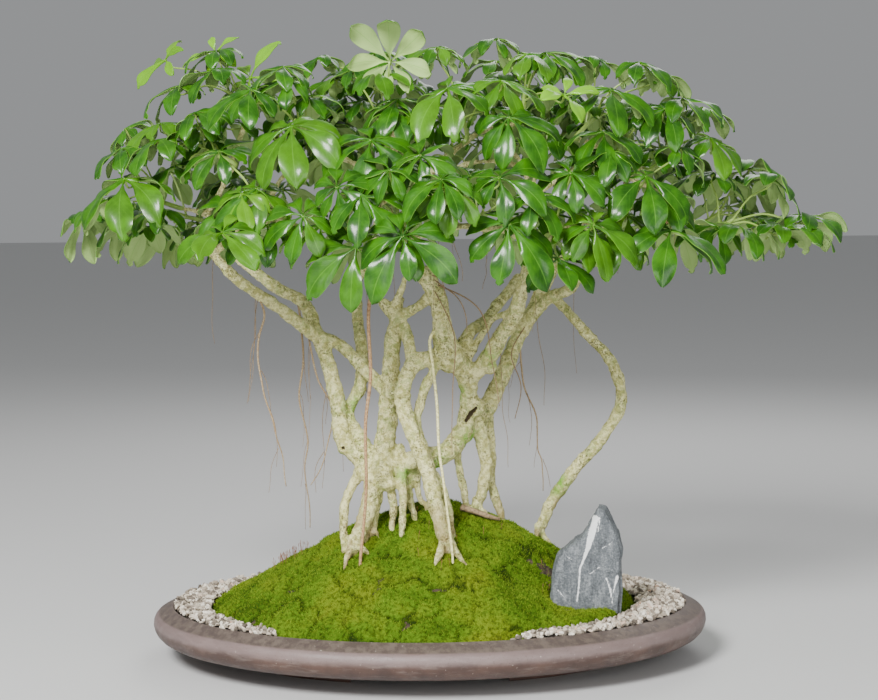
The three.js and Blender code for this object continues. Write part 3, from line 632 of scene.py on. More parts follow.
# where a leaflet's points go: out from the hub along its lean, then falling towards the tip
def leafletPlace(points, hub, facing, across, lean, reach, droop, number):
    scale = reach / leaflet["length"]
    middle = hub + lean * leaflet["arch"] * reach
    fall = unit(lean - 0.4 * facing - droop * up)
    tip = middle + fall * leaflet["tip"] * reach
    control = 2 * middle - 0.5 * (hub + tip)
    s = np.clip(points[:, 0:1] / leaflet["length"], 0, 1)
    spine = hub * (1 - s) ** 2 + control * 2 * s * (1 - s) + tip * s ** 2
    tangent = (control - hub) * (1 - s) + (tip - control) * s
    tangent /= np.linalg.norm(tangent, axis=1, keepdims=True)
    roll = leaflet["roll"] * (draw(number + 7) - 0.5)
    sideways = across * math.cos(roll) + facing * math.sin(roll)
    normal = np.cross(tangent, sideways)
    normal /= np.linalg.norm(normal, axis=1, keepdims=True)
    normal *= np.sign(np.sum(normal * facing, axis=1, keepdims=True))
    y = points[:, 1:2]
    share = np.abs(y) / np.maximum(halfWidth(s), 1)
    bend = leaflet["bend"] * (draw(number + 3) - 0.5) * s ** 2 * scale
    rise = leaflet["fold"] * np.abs(y) - leaflet["curl"] * share ** 3
    rise += leaflet["wave"] * share * np.sin(2 * math.pi * (1.7 * s + draw(number) + 0.3 * np.sign(y)))
    return spine + sideways * (y * scale + bend) + normal * (points[:, 2:3] + rise * scale)


# how far the lowest point hangs below the crown's lower edge
def hangsBelow(place):
    near = view["distance"] / (view["distance"] + place[:, 1])
    seenX = view["offset"] + (place[:, 0] - view["offset"]) * near
    seenZ = view["height"] + (place[:, 2] - view["height"]) * near
    edgeX, edgeZ = zip(*crown["edge"])
    return np.max(np.interp(seenX, edgeX, edgeZ) - seenZ)


leafletPatterns = [
    makeLeafletPattern("leafletWhole", 0.0, 0.0),
    makeLeafletPattern("leafletNotched", 3.2, 0.0),
    makeLeafletPattern("leafletLobed", 2.2, 3.4),
]
patternPoints = [readPoints(pattern.data) for pattern in leafletPatterns]


def bendLeaflet(kind, hub, facing, across, lean, reach, droop, number, tone):
    points = patternPoints[kind]

    def bent():
        return leafletPlace(points, hub, facing, across, lean, reach, droop, number)

    place = bent()
    for attempt in range(7):  # one that hangs too low is held up
        if hangsBelow(place) < 0:
            break
        lean = unit(lean + 0.16 * up + 0.05 * facing)
        droop -= 0.08
        place = bent()
    shortest = reach * 0.6
    while reach > shortest and hangsBelow(place) > 4:
        reach -= 3
        place = bent()
    while reach > 20 and (np.any(place < crown["low"]) or np.any(place > crown["high"])):
        reach -= 3  # a leaflet that would leave the tree's own room stays shorter
        place = bent()
    made = addObject("leaflet", leafletPatterns[kind].data.copy())
    writePoints(made.data, toFrame(np.clip(place, crown["low"], crown["high"])))
    made.data.attributes["leafTone"].data.foreach_set("value", np.full(len(points), tone, dtype=np.float32))
    return made


# smaller leaves between the large ones, nearer to the middle of the crown
def innerLeaves(number, leaves):
    middle = middleOf(leaves)
    inward = unit(crown["centre"] - middle)
    grown = []
    for leaf in range(crown["inner"]):
        key = 900 + number * 23 + leaf * 5
        aside = np.array([90 * (draw(key) - 0.5), 60 * (draw(key + 1) - 0.5), 76 * (draw(key + 2) - 0.4)])
        hub = middle + inward * (8 + 30 * draw(key + 3)) + aside
        hub[2] = max(hub[2], 425)
        grown.append((hub, 0.72 + 0.24 * draw(key + 4)))
    return grown


# how grown and young leaves hang: the least dip of a leaflet, how far it spreads, and its droop
habit = {
    "grown": {"dip": 0.14, "spread": 0.4, "droop": 0.55, "tone": 0},
    "young": {"dip": -0.5, "spread": 0.9, "droop": 0.1, "tone": 0.6},
    "youngLeaflets": 5, "youngAbove": 545, "youngSize": 0.8, "paleFacing": (0.12, 1.0, 0.3),
    "stem": [2.6, 2.1], "stalk": [1.6, 1.3, 0.95, 1.05, 1.5], "stalkPlaces": [0, 0.04, 0.12, 0.9, 1],
}


def leafFacing(hub, key, large, young):
    hanging = hub[0] > 300 or (hub[0] < -250 and hub[2] < 460)
    facing = (hub - crown["centre"]) / crown["facing"] + up * (0.85 if large else 1.5)
    facing[0] += 0.5 * (draw(key) - 0.5)
    facing[1] += 0.5 * (draw(key + 1) - 0.5) + (0.45 if hanging else 0)
    return unit(np.array([facing[0], -1.0, 1.1]) if young else facing)


def makeLeaf(number, leaf, hub, size, start, large, shown):
    key = number * 17 + leaf * 3
    young = large and size < habit["youngSize"] and hub[2] > habit["youngAbove"]
    ways = habit["young" if young else "grown"]
    facing = unit(np.array(habit["paleFacing"])) if shown else leafFacing(hub, key, large, young)
    droop = habit["young"]["droop"] if shown else ways["droop"]
    heading = hub - start
    heading = unit(heading - facing * np.dot(heading, facing))
    side = np.cross(facing, heading)
    count = habit["youngLeaflets"] if young else 8 if draw(key + 11) > 0.4 else 7
    tone = 0.1 + 0.6 * draw(key + 12) + (0.1 if size < habit["youngSize"] else 0) + ways["tone"]
    blades = []
    for i in range(count):
        turn = 2 * math.pi * i / count + 0.16 * (draw(key + 40 + i) - 0.5)
        reach = crown["leaflet"] * size * (0.8 + 0.22 * math.cos(turn)) * (0.92 + 0.16 * draw(key * 31 + i))
        dip = ways["dip"] + ways["spread"] * draw(key * 37 + i)
        out = heading * math.cos(turn) + side * math.sin(turn)
        across = side * math.cos(turn) - heading * math.sin(turn)
        lean = out * math.cos(dip) - facing * math.sin(dip)
        dry = (number, leaf, i) == crown["dryLeaflet"]
        shade = 2.0 if dry else tone + 0.2 * (draw(key * 7 + i) - 0.5)
        kind = int(draw(key * 5 + i) * 3)
        blades.append(bendLeaflet(kind, hub, facing, across, lean, reach, droop, key * 3 + i, shade))
    stalkRoute = [hub, hub - facing * 9, lerp(hub, start, 0.55) + up * 5, start]
    radii = np.interp(np.linspace(0, 1, 16), habit["stalkPlaces"], habit["stalk"]) * (0.75 + 0.25 * size)
    return blades, (smoothLine(stalkRoute, 16), radii)


def makeShoot(number, leaves, base, direction):
    stemRoute = [base + direction * 0.3, base + direction * 7, lerp(middleOf(leaves), base, 0.5)]
    blades, stalks = [], [(smoothLine(stemRoute, 14), spreadRadii(habit["stem"], 14))]
    large = len(leaves)
    leaves = leaves + innerLeaves(number, leaves)
    pale = crown["paleLeaf"]["shoot"] == number
    if pale:
        leaves.append((sighted(crown["paleLeaf"]["place"]), crown["paleLeaf"]["size"]))
    for leaf, (hub, size) in enumerate(leaves):
        start = pointAt(stemRoute, 0.97 - 0.5 * min(leaf, 4) / 5)
        shown = pale and leaf == len(leaves) - 1
        grown, stalk = makeLeaf(number, leaf, hub, size, start, leaf < large, shown)
        blades += grown
        stalks.append(stalk)
    tubes = makeTubes("stalks", stalks, 8, *leafLooks)
    green = np.full(len(tubes.data.polygons), leafLooks.index(stalkGreen), dtype=np.int32)
    tubes.data.polygons.foreach_set("material_index", green)
    setValues(tubes, "leafTone", np.full(len(tubes.data.vertices), 0.6))
    shoot = joinTo(blades[0], blades[1:] + [tubes])
    shoot.name = f"leafyShoot{number + 1:02d}"
    return shoot


shoots = allShoots()
bases = [shootBase(leaves) for leaves in shoots]
twigs, directions = growTwigs(bases)
leafyShoots = [makeShoot(i, leaves, bases[i], directions[i]) for i, leaves in enumerate(shoots)]
for pattern in leafletPatterns:
    bpy.data.objects.remove(pattern)
for shoot in leafyShoots:
    smoothBy(shoot, 50)
    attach(shoot, "root")
    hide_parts(*[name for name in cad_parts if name.startswith("leafy_stem")])
print("leaves done", sum(len(shoot.data.polygons) for shoot in leafyShoots))


# the wood: limbs, twigs and prop roots, melted together
barkLook = {
    "pale": (0.56, 0.53, 0.19), "cream": (0.95, 0.91, 0.46), "dark": (0.13, 0.11, 0.04),
    "moss": (0.3, 0.4, 0.1), "algae": (0.22, 0.5, 0.04), "brown": (0.34, 0.22, 0.1),
    # hollow is the near-black painted shade inside the hollows
    "hollow": (0.07, 0.05, 0.025), "hair": (0.2, 0.13, 0.07),
    "thread": (0.47, 0.3, 0.15), "threadShade": (0.24, 0.12, 0.05),
    "hanging": (0.3, 0.2, 0.1), "hangingShade": (0.42, 0.33, 0.2),
    "fine": 0.00172, "scarEvery": 13, "scarHeight": 0.1, "lump": 0.85,
    # knots and cut stubs, and patches of green: [x, z] seen from the front, y in depth, radius
    "knots": [[-67, 184, -28, 9], [-84, 209, -20, 8], [-47, 185, -34, 12], [-40, 172, -34, 9], [-36, 262, -28, 9],
              [26, 300, -36, 12], [48, 248, -12, 10], [0, 378, -46, 10], [-17, 194, -28, 9],
              [-105, 318, 0, 8], [98, 336, 54, 8], [62, 288, -20, 8], [36, 226, -14, 9]],
    "green": [[8, 192, -22, 12], [-24, 180, -30, 10], [40, 218, -14, 12], [-70, 250, -14, 14], [26, 262, -18, 12],
              [-88, 205, -16, 8], [-4, 240, -60, 9], [64, 300, -22, 12], [130, 170, 26, 12]],
    # hollows where old branches came away, pressed in and painted near-black inside as shade
    "hollows": [[38, 235, -18, 3.6], [40.4, 238, -18, 4], [42.8, 241, -18, 4.4], [45.2, 244, -18, 4],
                [47.6, 247, -18, 3.6], [-86, 208, -26, 3]],
    "hollowDepth": 0.4,
}


def barkMaterial():
    look, shader, place = startMaterial("bark", 0.8, Specular_IOR_Level=0.25)
    tree = place.id_data
    film = times(step(noiseAt(place, 24, 5, 0.6), 0.38, 0.58), step(noiseAt(place, 190, 6, 0.75), 0.47, 0.56))
    rust = times(step(heightOf(place), 0.2, 0.11), step(noiseAt(place, 60, 4), 0.45, 0.6))
    algae = times(valueOf(place, "green"), step(noiseAt(place, 150, 5, 0.7), 0.35, 0.6))
    uneven = addNode(tree, "ShaderNodeTexNoise", Scale=300.0, Detail=2.0, Vector=place).outputs["Color"]
    warped = addNode(tree, "ShaderNodeVectorMath", {"operation": "MULTIPLY_ADD"})
    for socket, value in zip(warped.inputs, (uneven, (0.004, 0.004, 0.004), place)):
        feed(socket, value)
    specks = addNode(tree, "ShaderNodeTexVoronoi", Scale=420.0, Randomness=1.0, Vector=warped.outputs["Vector"])
    spots = times(step(specks.outputs["Distance"], 0.44, 0.16), step(noiseAt(place, 50, 5, 0.7), 0.42, 0.6))
    cracks = step(noiseAt(place, 340, 6, 0.78), 0.42, 0.34)
    dark = calc("MAXIMUM", times(spots, 0.75), times(cracks, 0.5))
    color = layers(
        barkLook["pale"], (step(noiseAt(place, 210, 7, 0.72), 0.4, 0.58), barkLook["cream"]),
        (times(film, 0.55), barkLook["moss"]), (times(rust, 0.7), barkLook["brown"]), (algae, barkLook["algae"]),
        # the insides of the hollows are painted near-black, as painted shade in the recesses
        (dark, barkLook["dark"]), (step(valueOf(place, "hollow"), 0.25, 0.7), barkLook["hollow"]),
    )
    height = less(plus(noiseAt(place, 700, 4, 0.7), noiseAt(place, 180, 5, 0.6)), dark)
    cover(shader, color, height, 1.0, 0.0022)
    return look


def threadMaterial(name, color, shade):
    look, shader, place = startMaterial(name, 0.75)
    fleck = noiseAt(place, 500, 4, 0.65)
    cover(shader, mix(step(fleck, 0.4, 0.65), color, shade), fleck, 0.8, 0.0006)
    return look


bark = barkMaterial()


# a limb's line with swollen leaf scars, and a rounded end on both sides
def limbLine(points, radii, seed):
    length = sum(np.linalg.norm(np.subtract(a, b)) for a, b in zip(points[1:], points[:-1]))
    samples = max(6, int(length / 2.4))
    line = smoothLine(points, samples)
    along = np.linspace(0, length, samples)
    ring = np.cos(2 * math.pi * (along / barkLook["scarEvery"] + draw(seed))) ** 8
    slow = np.sin(along / 11 + 6 * draw(seed + 1)) * np.sin(along / 4.3 + 6 * draw(seed + 2))
    radius = spreadRadii(radii, samples) * (1 + barkLook["scarHeight"] * ring + 0.07 * slow)
    wiggle = np.column_stack([np.sin(along / 9 + draw(seed + k) * 6) for k in range(3)]) * 0.45
    line = line + wiggle * np.sin(np.linspace(0, math.pi, samples))[:, None]
    first, last = unit(line[0] - line[1]), unit(line[-1] - line[-2])
    shares = np.array([0.4, 0.7, 0.9, 0.98])
    heads = line[0] + np.outer(shares[::-1] * radius[0], first)
    tails = line[-1] + np.outer(shares * radius[-1], last)
    narrow = np.sqrt(1 - shares ** 2)
    return np.vstack([heads, line, tails]), np.concatenate([narrow[::-1] * radius[0], radius, narrow * radius[-1]])


def rootRoute(root):
    x, y = root["foot"]
    top = float(mossTop(x, y))
    return seenRoute(root["route"]) + [np.array([x, y, top]), np.array([x, y, top - 10])]


# how near each point is to the places of a list, with less weight on depth where that is set
def nearness(points, places, depth=1.0):
    near = np.zeros(len(points))
    for x, z, y, radius in places:
        gap = np.linalg.norm((points - sighted([x, z, y])) * [1, depth, 1], axis=1) / radius
        near = np.maximum(near, np.clip(1.4 - gap, 0, 1))
    return near


# short toes that spread from the thicker feet over the moss, most of them to the front
def toeLines():
    lines = []
    for i, root in enumerate(groundRoots[:-2]):
        thick = root["radii"][-1]
        if thick < 7:
            continue
        for toe in range(2):
            turn = math.radians(-120 + 55 * toe + 30 * draw(4000 + i * 5 + toe))
            reach = thick * (1.7 + 0.9 * draw(4100 + i * 5 + toe))
            line = []
            for out, over in ((0, thick * 1.5), (0.4, thick * 0.45), (0.75, 0.6), (1.05, -3.5)):
                x = root["foot"][0] + math.cos(turn) * out * reach
                y = root["foot"][1] + math.sin(turn) * out * reach
                line.append(np.array([x, y, float(mossTop(x, y)) + over]))
            lines.append((smoothLine(line, 14), spreadRadii([thick * 0.5, thick * 0.46, thick * 0.36, 1.5], 14)))
    return lines


def makeWood():
    lines = [limbLine(seenRoute(limb["route"]), limb["radii"], 10 * i) for i, limb in enumerate(limbs)]
    for i, root in enumerate(groundRoots[:-2]):
        foot = root["radii"][-1]
        lines.append(limbLine(rootRoute(root), root["radii"][:-1] + [0.85 * foot, 0.6 * foot], 300 + 10 * i))
    lines += toeLines()
    lines += [limbLine(points, radii, 600 + 10 * i) for i, (points, radii) in enumerate(twigs)]
    knots = []
    wood = makeTubes("wood", lines, 16, bark)
    for x, z, y, radius in barkLook["knots"]:
        deselectAll()
        place = toFrame(sighted([x, z, y]))
        bpy.ops.mesh.primitive_ico_sphere_add(subdivisions=2, radius=radius * mm, location=place)
        bpy.ops.object.transform_apply(location=True)
        knots.append(bpy.context.object)
    wood = joinTo(wood, knots)
    melt(wood, barkLook["fine"])
    soften(wood, 4)
    points = readPoints(wood.data)
    lumps = np.array([
        noise.noise(Vector(p) * 90) * 0.8 + noise.noise(Vector(p) * 210) * 0.9 - abs(noise.noise(Vector(p) * 130))
        for p in points
    ])
    near = points / mm - potMiddle
    opening = nearness(near, barkLook["hollows"], barkLook["hollowDepth"])
    hollow = np.clip((opening - 0.6) / 0.25, 0, 1)
    rim = np.exp(-((opening - 0.32) / 0.17) ** 2)
    pushOut(wood.data, lumps * barkLook["lump"] - 4.5 * hollow + 0.8 * rim * (1 + lumps))
    setValues(wood, "green", nearness(near, barkLook["green"]))
    setValues(wood, "hollow", hollow)
    wear(wood, bark)
    return wood


wood = makeWood()
print("wood done", len(wood.data.polygons))


# thin roots: two threads down to the moss, the hanging ones, and hairs below the crown
threads = {
    "brown": [1.9, 1.7], "pale": [1.5, 1.2], "hanging": [1.2, 0.9, 0.5],
    "hairs": 26, "hairLength": 110, "hairWidth": [0.34, 0.28, 0.2],
    # fine ones seen in front of the limbs: [x, z] seen from the front, then y in depth
    "fine": [
        [[44, 392, -62], [52, 345, -68], [64, 290, -74], [71, 249, -76]],
        [[28, 396, -62], [34, 352, -68], [39, 322, -70]],
        [[22, 398, -58], [26, 320, -66], [25, 262, -70], [24, 200, -72]],
        [[8, 398, -62], [16, 374, -66], [18, 360, -68]],
        [[92, 332, 40], [84, 300, 20], [92, 270, 16], [86, 236, 14]],
    ],
    "fineWidth": [0.75, 0.6, 0.4],
}


# a root's line with small random-looking bends that grow towards its end
def wander(route, samples, sway, seed):
    line = smoothLine(route, samples)
    along = np.arange(samples)
    turn = np.column_stack([np.sin(along / (2.6 + 2 * draw(seed + k)) + 9 * draw(seed + k + 5)) for k in range(3)])
    slow = np.column_stack([np.sin(along / (7 + 4 * draw(seed + k + 8)) + 9 * draw(seed + k + 3)) for k in range(3)])
    return line + (turn * 0.35 + slow) * sway * np.linspace(0, 1, samples)[:, None] ** 0.5


def nearestWood(place):
    routes = [seenRoute(limb["route"]) for limb in limbs] + [twig[0] for twig in twigs]
    spots = np.vstack([smoothLine(route, 40) for route in routes])
    return spots[np.argmin(np.linalg.norm(spots - place, axis=1))]


def makeHairs():
    lines = []
    carriers = [seenRoute(limb["route"]) for limb in limbs if limb["tip"]] + [twig[0] for twig in twigs[::2]]
    for i in range(threads["hairs"]):
        start = pointAt(carriers[i % len(carriers)], 0.1 + 0.5 * draw(2000 + i))
        length = threads["hairLength"] * (0.3 + draw(2100 + i))
        sway = np.array([24 * (draw(2200 + i) - 0.5), 16 * (draw(2300 + i) - 0.5), 0])
        route = [start, start + sway * 0.6 - up * length * 0.4, start + sway - up * length]
        lines.append((wander(route, 48, 2.6, 2400 + i), spreadRadii(threads["hairWidth"], 48)))
    for i, route in enumerate(threads["fine"]):
        places = seenRoute(route)
        line = wander([nearestWood(places[0])] + places[1:], 60, 0.9, 2950 + i)
        lines.append((line, spreadRadii(threads["fineWidth"], 60)))
    for i, route in enumerate(hangingRoots):
        for branch in range(4):
            key = i * 4 + branch
            start = pointAt(seenRoute(route), 0.2 + 0.2 * branch)
            sway = np.array([22 * (draw(2500 + key) - 0.5), 14 * (draw(2600 + key) - 0.5), 0])
            path = [start, start + sway * 0.7 - up * 14, start + sway - up * (24 + 34 * draw(2700 + key))]
            lines.append((wander(path, 24, 1.8, 2800 + key), spreadRadii(threads["hairWidth"], 24)))
    return makeTubes("hairRoots", lines, 4, threadMaterial("hairRoot", barkLook["hair"], barkLook["brown"]))


def makeThread(name, root, radii, seed, look):
    return makeTubes(name, [(wander(rootRoute(root), 70, 0.5, seed), spreadRadii(radii, 70))], 8, look)


threadPale = threadMaterial("threadPale", barkLook["cream"], barkLook["pale"])
threadBrown = threadMaterial("threadBrown", barkLook["thread"], barkLook["threadShade"])
threadDark = threadMaterial("threadDark", barkLook["hanging"], barkLook["hangingShade"])
paleThread = makeThread("paleThread", groundRoots[-2], threads["pale"], 11, threadPale)
brownThread = makeThread("brownThread", groundRoots[-1], threads["brown"], 12, threadBrown)
hanging = makeTubes("hangingRoots", [
    (wander(seenRoute(route), 80, 1.9, 40 + i), spreadRadii(threads["hanging"], 80))
    for i, route in enumerate(hangingRoots)
], 8, threadDark)
hairRoots = makeHairs()
for piece in (wood, paleThread, brownThread, hanging, hairRoots):
    smoothFaces(piece)
    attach(piece, "root")
for piece in (wood, paleThread, brownThread, hanging):
    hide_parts("trunk")
print("roots done", len(hairRoots.data.polygons))


# the pot, turned from its outline and laid out on its oval
pot = {
    "length": 552, "depth": 414, "foot": 197, "footWidth": 14, "footHeight": 8, "lip": 20, "floor": 16, "steps": 180,
    "endCut": (60, 90), "sideCut": (150, 80), "sideCutPlace": 125, "drain": 9, "drainSpread": 95,
    "body": (0.062, 0.035, 0.028), "warm": (0.105, 0.058, 0.043), "dust": (0.21, 0.165, 0.145),
    # roll is the paler clay of the lip's rolled band, lightened further as a painted highlight
    "top": (0.135, 0.103, 0.083), "topDark": (0.08, 0.058, 0.05), "roll": (0.22, 0.165, 0.155),
    "grain": (0.035, 0.02, 0.018), "speck": (0.5, 0.44, 0.38),
}


def potPlace(radius, angle, z):
    sideStep = (pot["length"] - pot["depth"]) / 2
    smallest = np.maximum(radius, pot["foot"] - pot["footWidth"] + 1)
    ratio = (smallest - sideStep) / smallest
    return np.column_stack([radius * np.cos(angle), radius * ratio * np.sin(angle), z])


# outline from the middle of the underside, round the lip, to the middle of the floor
def potOutline():
    outer = pot["length"] / 2
    inner = outer - pot["lip"] - 1
    foot, wide, low = pot["foot"], pot["footWidth"], pot["footHeight"]
    return [
        (0.5, low - 1), (foot - wide, low - 1), (foot - wide, 0.6), (foot - wide + 0.6, 0), (foot - 0.8, 0),
        (foot, 0.8), (foot + 1, low - 1), (foot + 4, low + 1), (outer - 52, 11.5), (outer - 34, 15),
        (outer - 20, 18.6), (outer - 12, 21.4), (outer - 6.5, 24.6), (outer - 3, 28.4), (outer - 1, 32.6),
        (outer, 37), (outer - 0.4, 41), (outer - 1.7, 44.2), (outer - 3.6, 46.4), (outer - 5.4, 47.4),
        (outer - 12, 50.8), (outer - 18, 53.4), (outer - 19.6, 54), (inner + 0.6, 53.2), (inner, 51.4),
        (inner - 0.8, 46), (inner - 5, 30), (inner - 16, pot["floor"] + 1), (inner - 18, pot["floor"]),
        (0.5, pot["floor"]),
    ]


def clayMaterial():
    look, shader, place = startMaterial("clay", 0.5)
    high = heightOf(place)
    streaks = noiseAt(stretched(place, 5.0), 42, 6, 0.65)
    cloud = noiseAt(place, 26, 5, 0.6)
    uneven = plus(high, times(less(cloud, 0.5), 0.006))
    # the rolled band round the lip: paler clay with a painted highlight on it, broken up by the streaks
    band = times(step(uneven, 0.033, 0.0405), step(uneven, 0.05, 0.0465))
    paleClayAndHighlight = times(band, plus(0.45, times(streaks, 0.6)))
    lipTone = mix(step(noiseAt(place, 120, 6, 0.7), 0.4, 0.62), pot["topDark"], pot["top"])
    grains = noiseAt(place, 900, 2)
    color = layers(
        pot["body"], (step(cloud, 0.35, 0.65), pot["warm"]), (times(step(streaks, 0.5, 0.72), 0.5), pot["dust"]),
        (paleClayAndHighlight, pot["roll"]), (step(high, 0.0464, 0.0478), lipTone),
        (times(step(grains, 0.6, 0.75), 0.5), pot["grain"]),
        (times(step(noiseAt(place, 330, 2), 0.7, 0.76), 0.6), pot["speck"]),
    )
    fill(shader, Roughness=plus(0.34, times(noiseAt(place, 120, 4), 0.3)))
    cover(shader, color, plus(grains, noiseAt(place, 160, 4)), 0.4, 0.0007)
    return look


# a pair of notches on each axis under the foot, and two drain holes
def makeCutters():
    cutters = []
    endWide, endDeep = pot["endCut"]
    sideWide, sideDeep = pot["sideCut"]
    for side in (-1, 1):
        for x, y, wide, deep in (
            (side * pot["foot"], 0, endWide, endDeep), (0, side * pot["sideCutPlace"], sideWide, sideDeep),
        ):
            deselectAll()
            bpy.ops.mesh.primitive_cube_add(size=1, location=toFrame([x, y, 0]))
            bpy.context.object.scale = (wide * mm, deep * mm, 2 * (pot["footHeight"] - 2) * mm)
            cutters.append(bpy.context.object)
        deselectAll()
        place = toFrame([side * pot["drainSpread"], 0, 0])
        bpy.ops.mesh.primitive_cylinder_add(vertices=32, radius=pot["drain"] * mm, depth=60 * mm, location=place)
        cutters.append(bpy.context.object)
    return cutters


def makePot():
    outline = potOutline()
    mesh = bpy.data.meshes.new("pot")
    mesh.from_pydata([(r * mm, 0, z * mm) for r, z in outline], [(i, i + 1) for i in range(len(outline) - 1)], [])
    body = addObject("potBody", mesh)
    pick(body)
    bpy.ops.object.mode_set(mode="EDIT")
    bpy.ops.mesh.select_all(action="SELECT")
    bpy.ops.mesh.spin(steps=pot["steps"], angle=2 * math.pi, center=(0, 0, 0), axis=(0, 0, 1))
    bpy.ops.mesh.select_all(action="SELECT")
    bpy.ops.mesh.remove_doubles(threshold=0.00001)
    bpy.ops.mesh.select_all(action="DESELECT")
    bpy.ops.mesh.select_non_manifold(extend=False)
    bpy.ops.mesh.fill_holes(sides=0)
    bpy.ops.mesh.select_all(action="SELECT")
    bpy.ops.mesh.normals_make_consistent(inside=False)
    bpy.ops.object.mode_set(mode="OBJECT")
    points = readPoints(body.data) / mm
    radius, angle = np.hypot(points[:, 0], points[:, 1]), np.arctan2(points[:, 1], points[:, 0])
    uneven = 0.25 * np.sin(3 * angle + 1) + 0.15 * np.sin(7 * angle)
    reach = np.clip((radius - 240) / 30, 0, 1)
    lowered = points[:, 2] - np.abs(uneven) * reach * (points[:, 2] > 30)
    writePoints(body.data, toFrame(potPlace(radius, angle, lowered)))
    cutters = makeCutters()
    for cutter in cutters:
        cut = body.modifiers.new("cut", "BOOLEAN")
        cut.operation = "DIFFERENCE"
        cut.object = cutter
    applyAll(body)
    for cutter in cutters:
        bpy.data.objects.remove(cutter)
    wear(body, clayMaterial())
    smoothBy(body, 28)
    return body


potBody = makePot()
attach(potBody, "root")
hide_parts("pot")
print("pot done", len(potBody.data.polygons))


# soil and gravel bed stay as they are; the soil in damp brown, the bed painted dark as the shade in the gaps between
# the grains
earth = {
    "soil": (0.025, 0.016, 0.01), "soilPale": (0.09, 0.06, 0.035),
    "bed": (0.035, 0.028, 0.022), "bedShadePale": (0.16, 0.13, 0.11),
}


def soilMaterial(name, dark, pale):
    look, shader, place = startMaterial(name, 0.95)
    color = mix(step(noiseAt(place, 260, 5), 0.35, 0.7), dark, pale)
    cover(shader, color, noiseAt(place, 320, 5), 1.0, 0.002)
    return look


wear(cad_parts["soil"], soilMaterial("soilDark", earth["soil"], earth["soilPale"]))


# moss: a lumpy skin, with tufts standing out of it
moss = {
    "grid": 1.9, "skin": 3.4, "tufts": 48500, "tuftHeight": 2.6, "tuftWidth": 1.05, "stems": 70,
    # dark is the near-black green painted as shade, in the furrows and seams and in the low spots of the fine fleck
    "bright": (0.09, 0.18, 0.006), "mid": (0.034, 0.08, 0.004), "dark": (0.009, 0.022, 0.002),
    "yellow": (0.165, 0.22, 0.01), "brown": (0.07, 0.05, 0.012), "tip": (0.37, 0.5, 0.035),
    "stemLook": ((0.3, 0.11, 0.04), (0.16, 0.07, 0.03)), "stemRadii": [0.16, 0.15, 0.14, 0.14, 0.34, 0.2],
    "twigLook": ((0.34, 0.24, 0.13), (0.15, 0.1, 0.05)), "twigRadii": [3.4, 2.9, 2.6, 1.6],
    "twigRoute": ((32, -16), (44, -21), (57, -23), (70, -18)), "bare": -2.9,
}


# height of the cushions and furrows over the smooth mound
def mossLumps(x, y):
    out = np.empty(len(x))
    for i, (a, b) in enumerate(zip(x, y)):
        spot = Vector((a, b, 0))
        big = noise.noise(spot / 30) * 2.0
        warped = spot + noise.noise_vector(spot / 12) * 5
        cushions = noise.voronoi(warped / 9)[0]
        seam = min((cushions[1] - cushions[0]) * 2.6, 1)
        furrow = 1 - min(abs(noise.noise(warped / 38 + Vector((7, 3, 0)))) * 9, 1)
        out[i] = big + 1.5 * seam - 2.3 * furrow - 0.8 + noise.noise(spot / 2.6) * 0.8
    return out


def mossMaterial(name, lift):
    look, shader, place = startMaterial(name, 0.9, Specular_IOR_Level=0.1)
    greens = [(0.32, moss["mid"]), (0.48, moss["bright"]), (0.66, moss["yellow"])]
    fleck = noiseAt(place, 300, 4, 0.65)
    color = layers(
        # the low spots of the fine fleck, where the bump dips, are painted near-black as shade in the pile
        ramp(noiseAt(place, 17, 6, 0.62), greens), (times(step(fleck, 0.55, 0.36), 0.7), moss["dark"]),
        (times(step(noiseAt(place, 34, 5), 0.63, 0.75), 0.4), moss["brown"]),
        # painted shade in the furrows and seams, in the near-black moss green
        (valueOf(place, "creaseShade"), moss["dark"]),
    )
    if lift:
        color = mix(times(valueOf(place, "tip"), lift), color, moss["tip"])
    cover(shader, color, fleck, 1.0, 0.002)
    return look


# how much painted shade falls in a furrow or seam of the moss, from how deep the lumps dip there
def creaseShadeOf(lumps):
    return np.clip((-0.6 - lumps) / 2.2, 0, 0.92)


def makeMoss():
    deselectAll()
    columns = int(mound["length"] / moss["grid"])
    rows = int(mound["depth"] / moss["grid"])
    bpy.ops.mesh.primitive_grid_add(x_subdivisions=columns, y_subdivisions=rows, size=1)
    skin = bpy.context.object
    skin.name = "mossSkin"
    square = readPoints(skin.data)[:, :2] * 2
    u, v = square[:, 0], square[:, 1]
    rounded = np.column_stack([u * np.sqrt(1 - v * v / 2), v * np.sqrt(1 - u * u / 2)])
    reach = np.hypot(rounded[:, 0], rounded[:, 1])
    turn = np.arctan2(rounded[:, 1], rounded[:, 0])
    ragged = 1 - 0.012 * (1 + np.sin(9 * turn) * np.cos(5 * turn + 1)) * reach
    x = mound["x"] + rounded[:, 0] * ragged * mound["length"] / 2
    y = mound["y"] + rounded[:, 1] * ragged * mound["depth"] / 2
    edge = np.clip((1 - reach) / 0.05, 0, 1)
    lumps = mossLumps(x, y)
    z = mossTop(x, y) - 1.6 + lumps * (0.4 + 0.6 * edge) - 4 * (1 - edge) ** 2
    writePoints(skin.data, toFrame(np.column_stack([x, y, z])))
    setValues(skin, "creaseShade", creaseShadeOf(lumps))
    wear(skin, mossMaterial("mossSkin", 0))
    thicken(skin, moss["skin"] * mm, -1)
    applyAll(skin)
    smoothFaces(skin)
    return skin


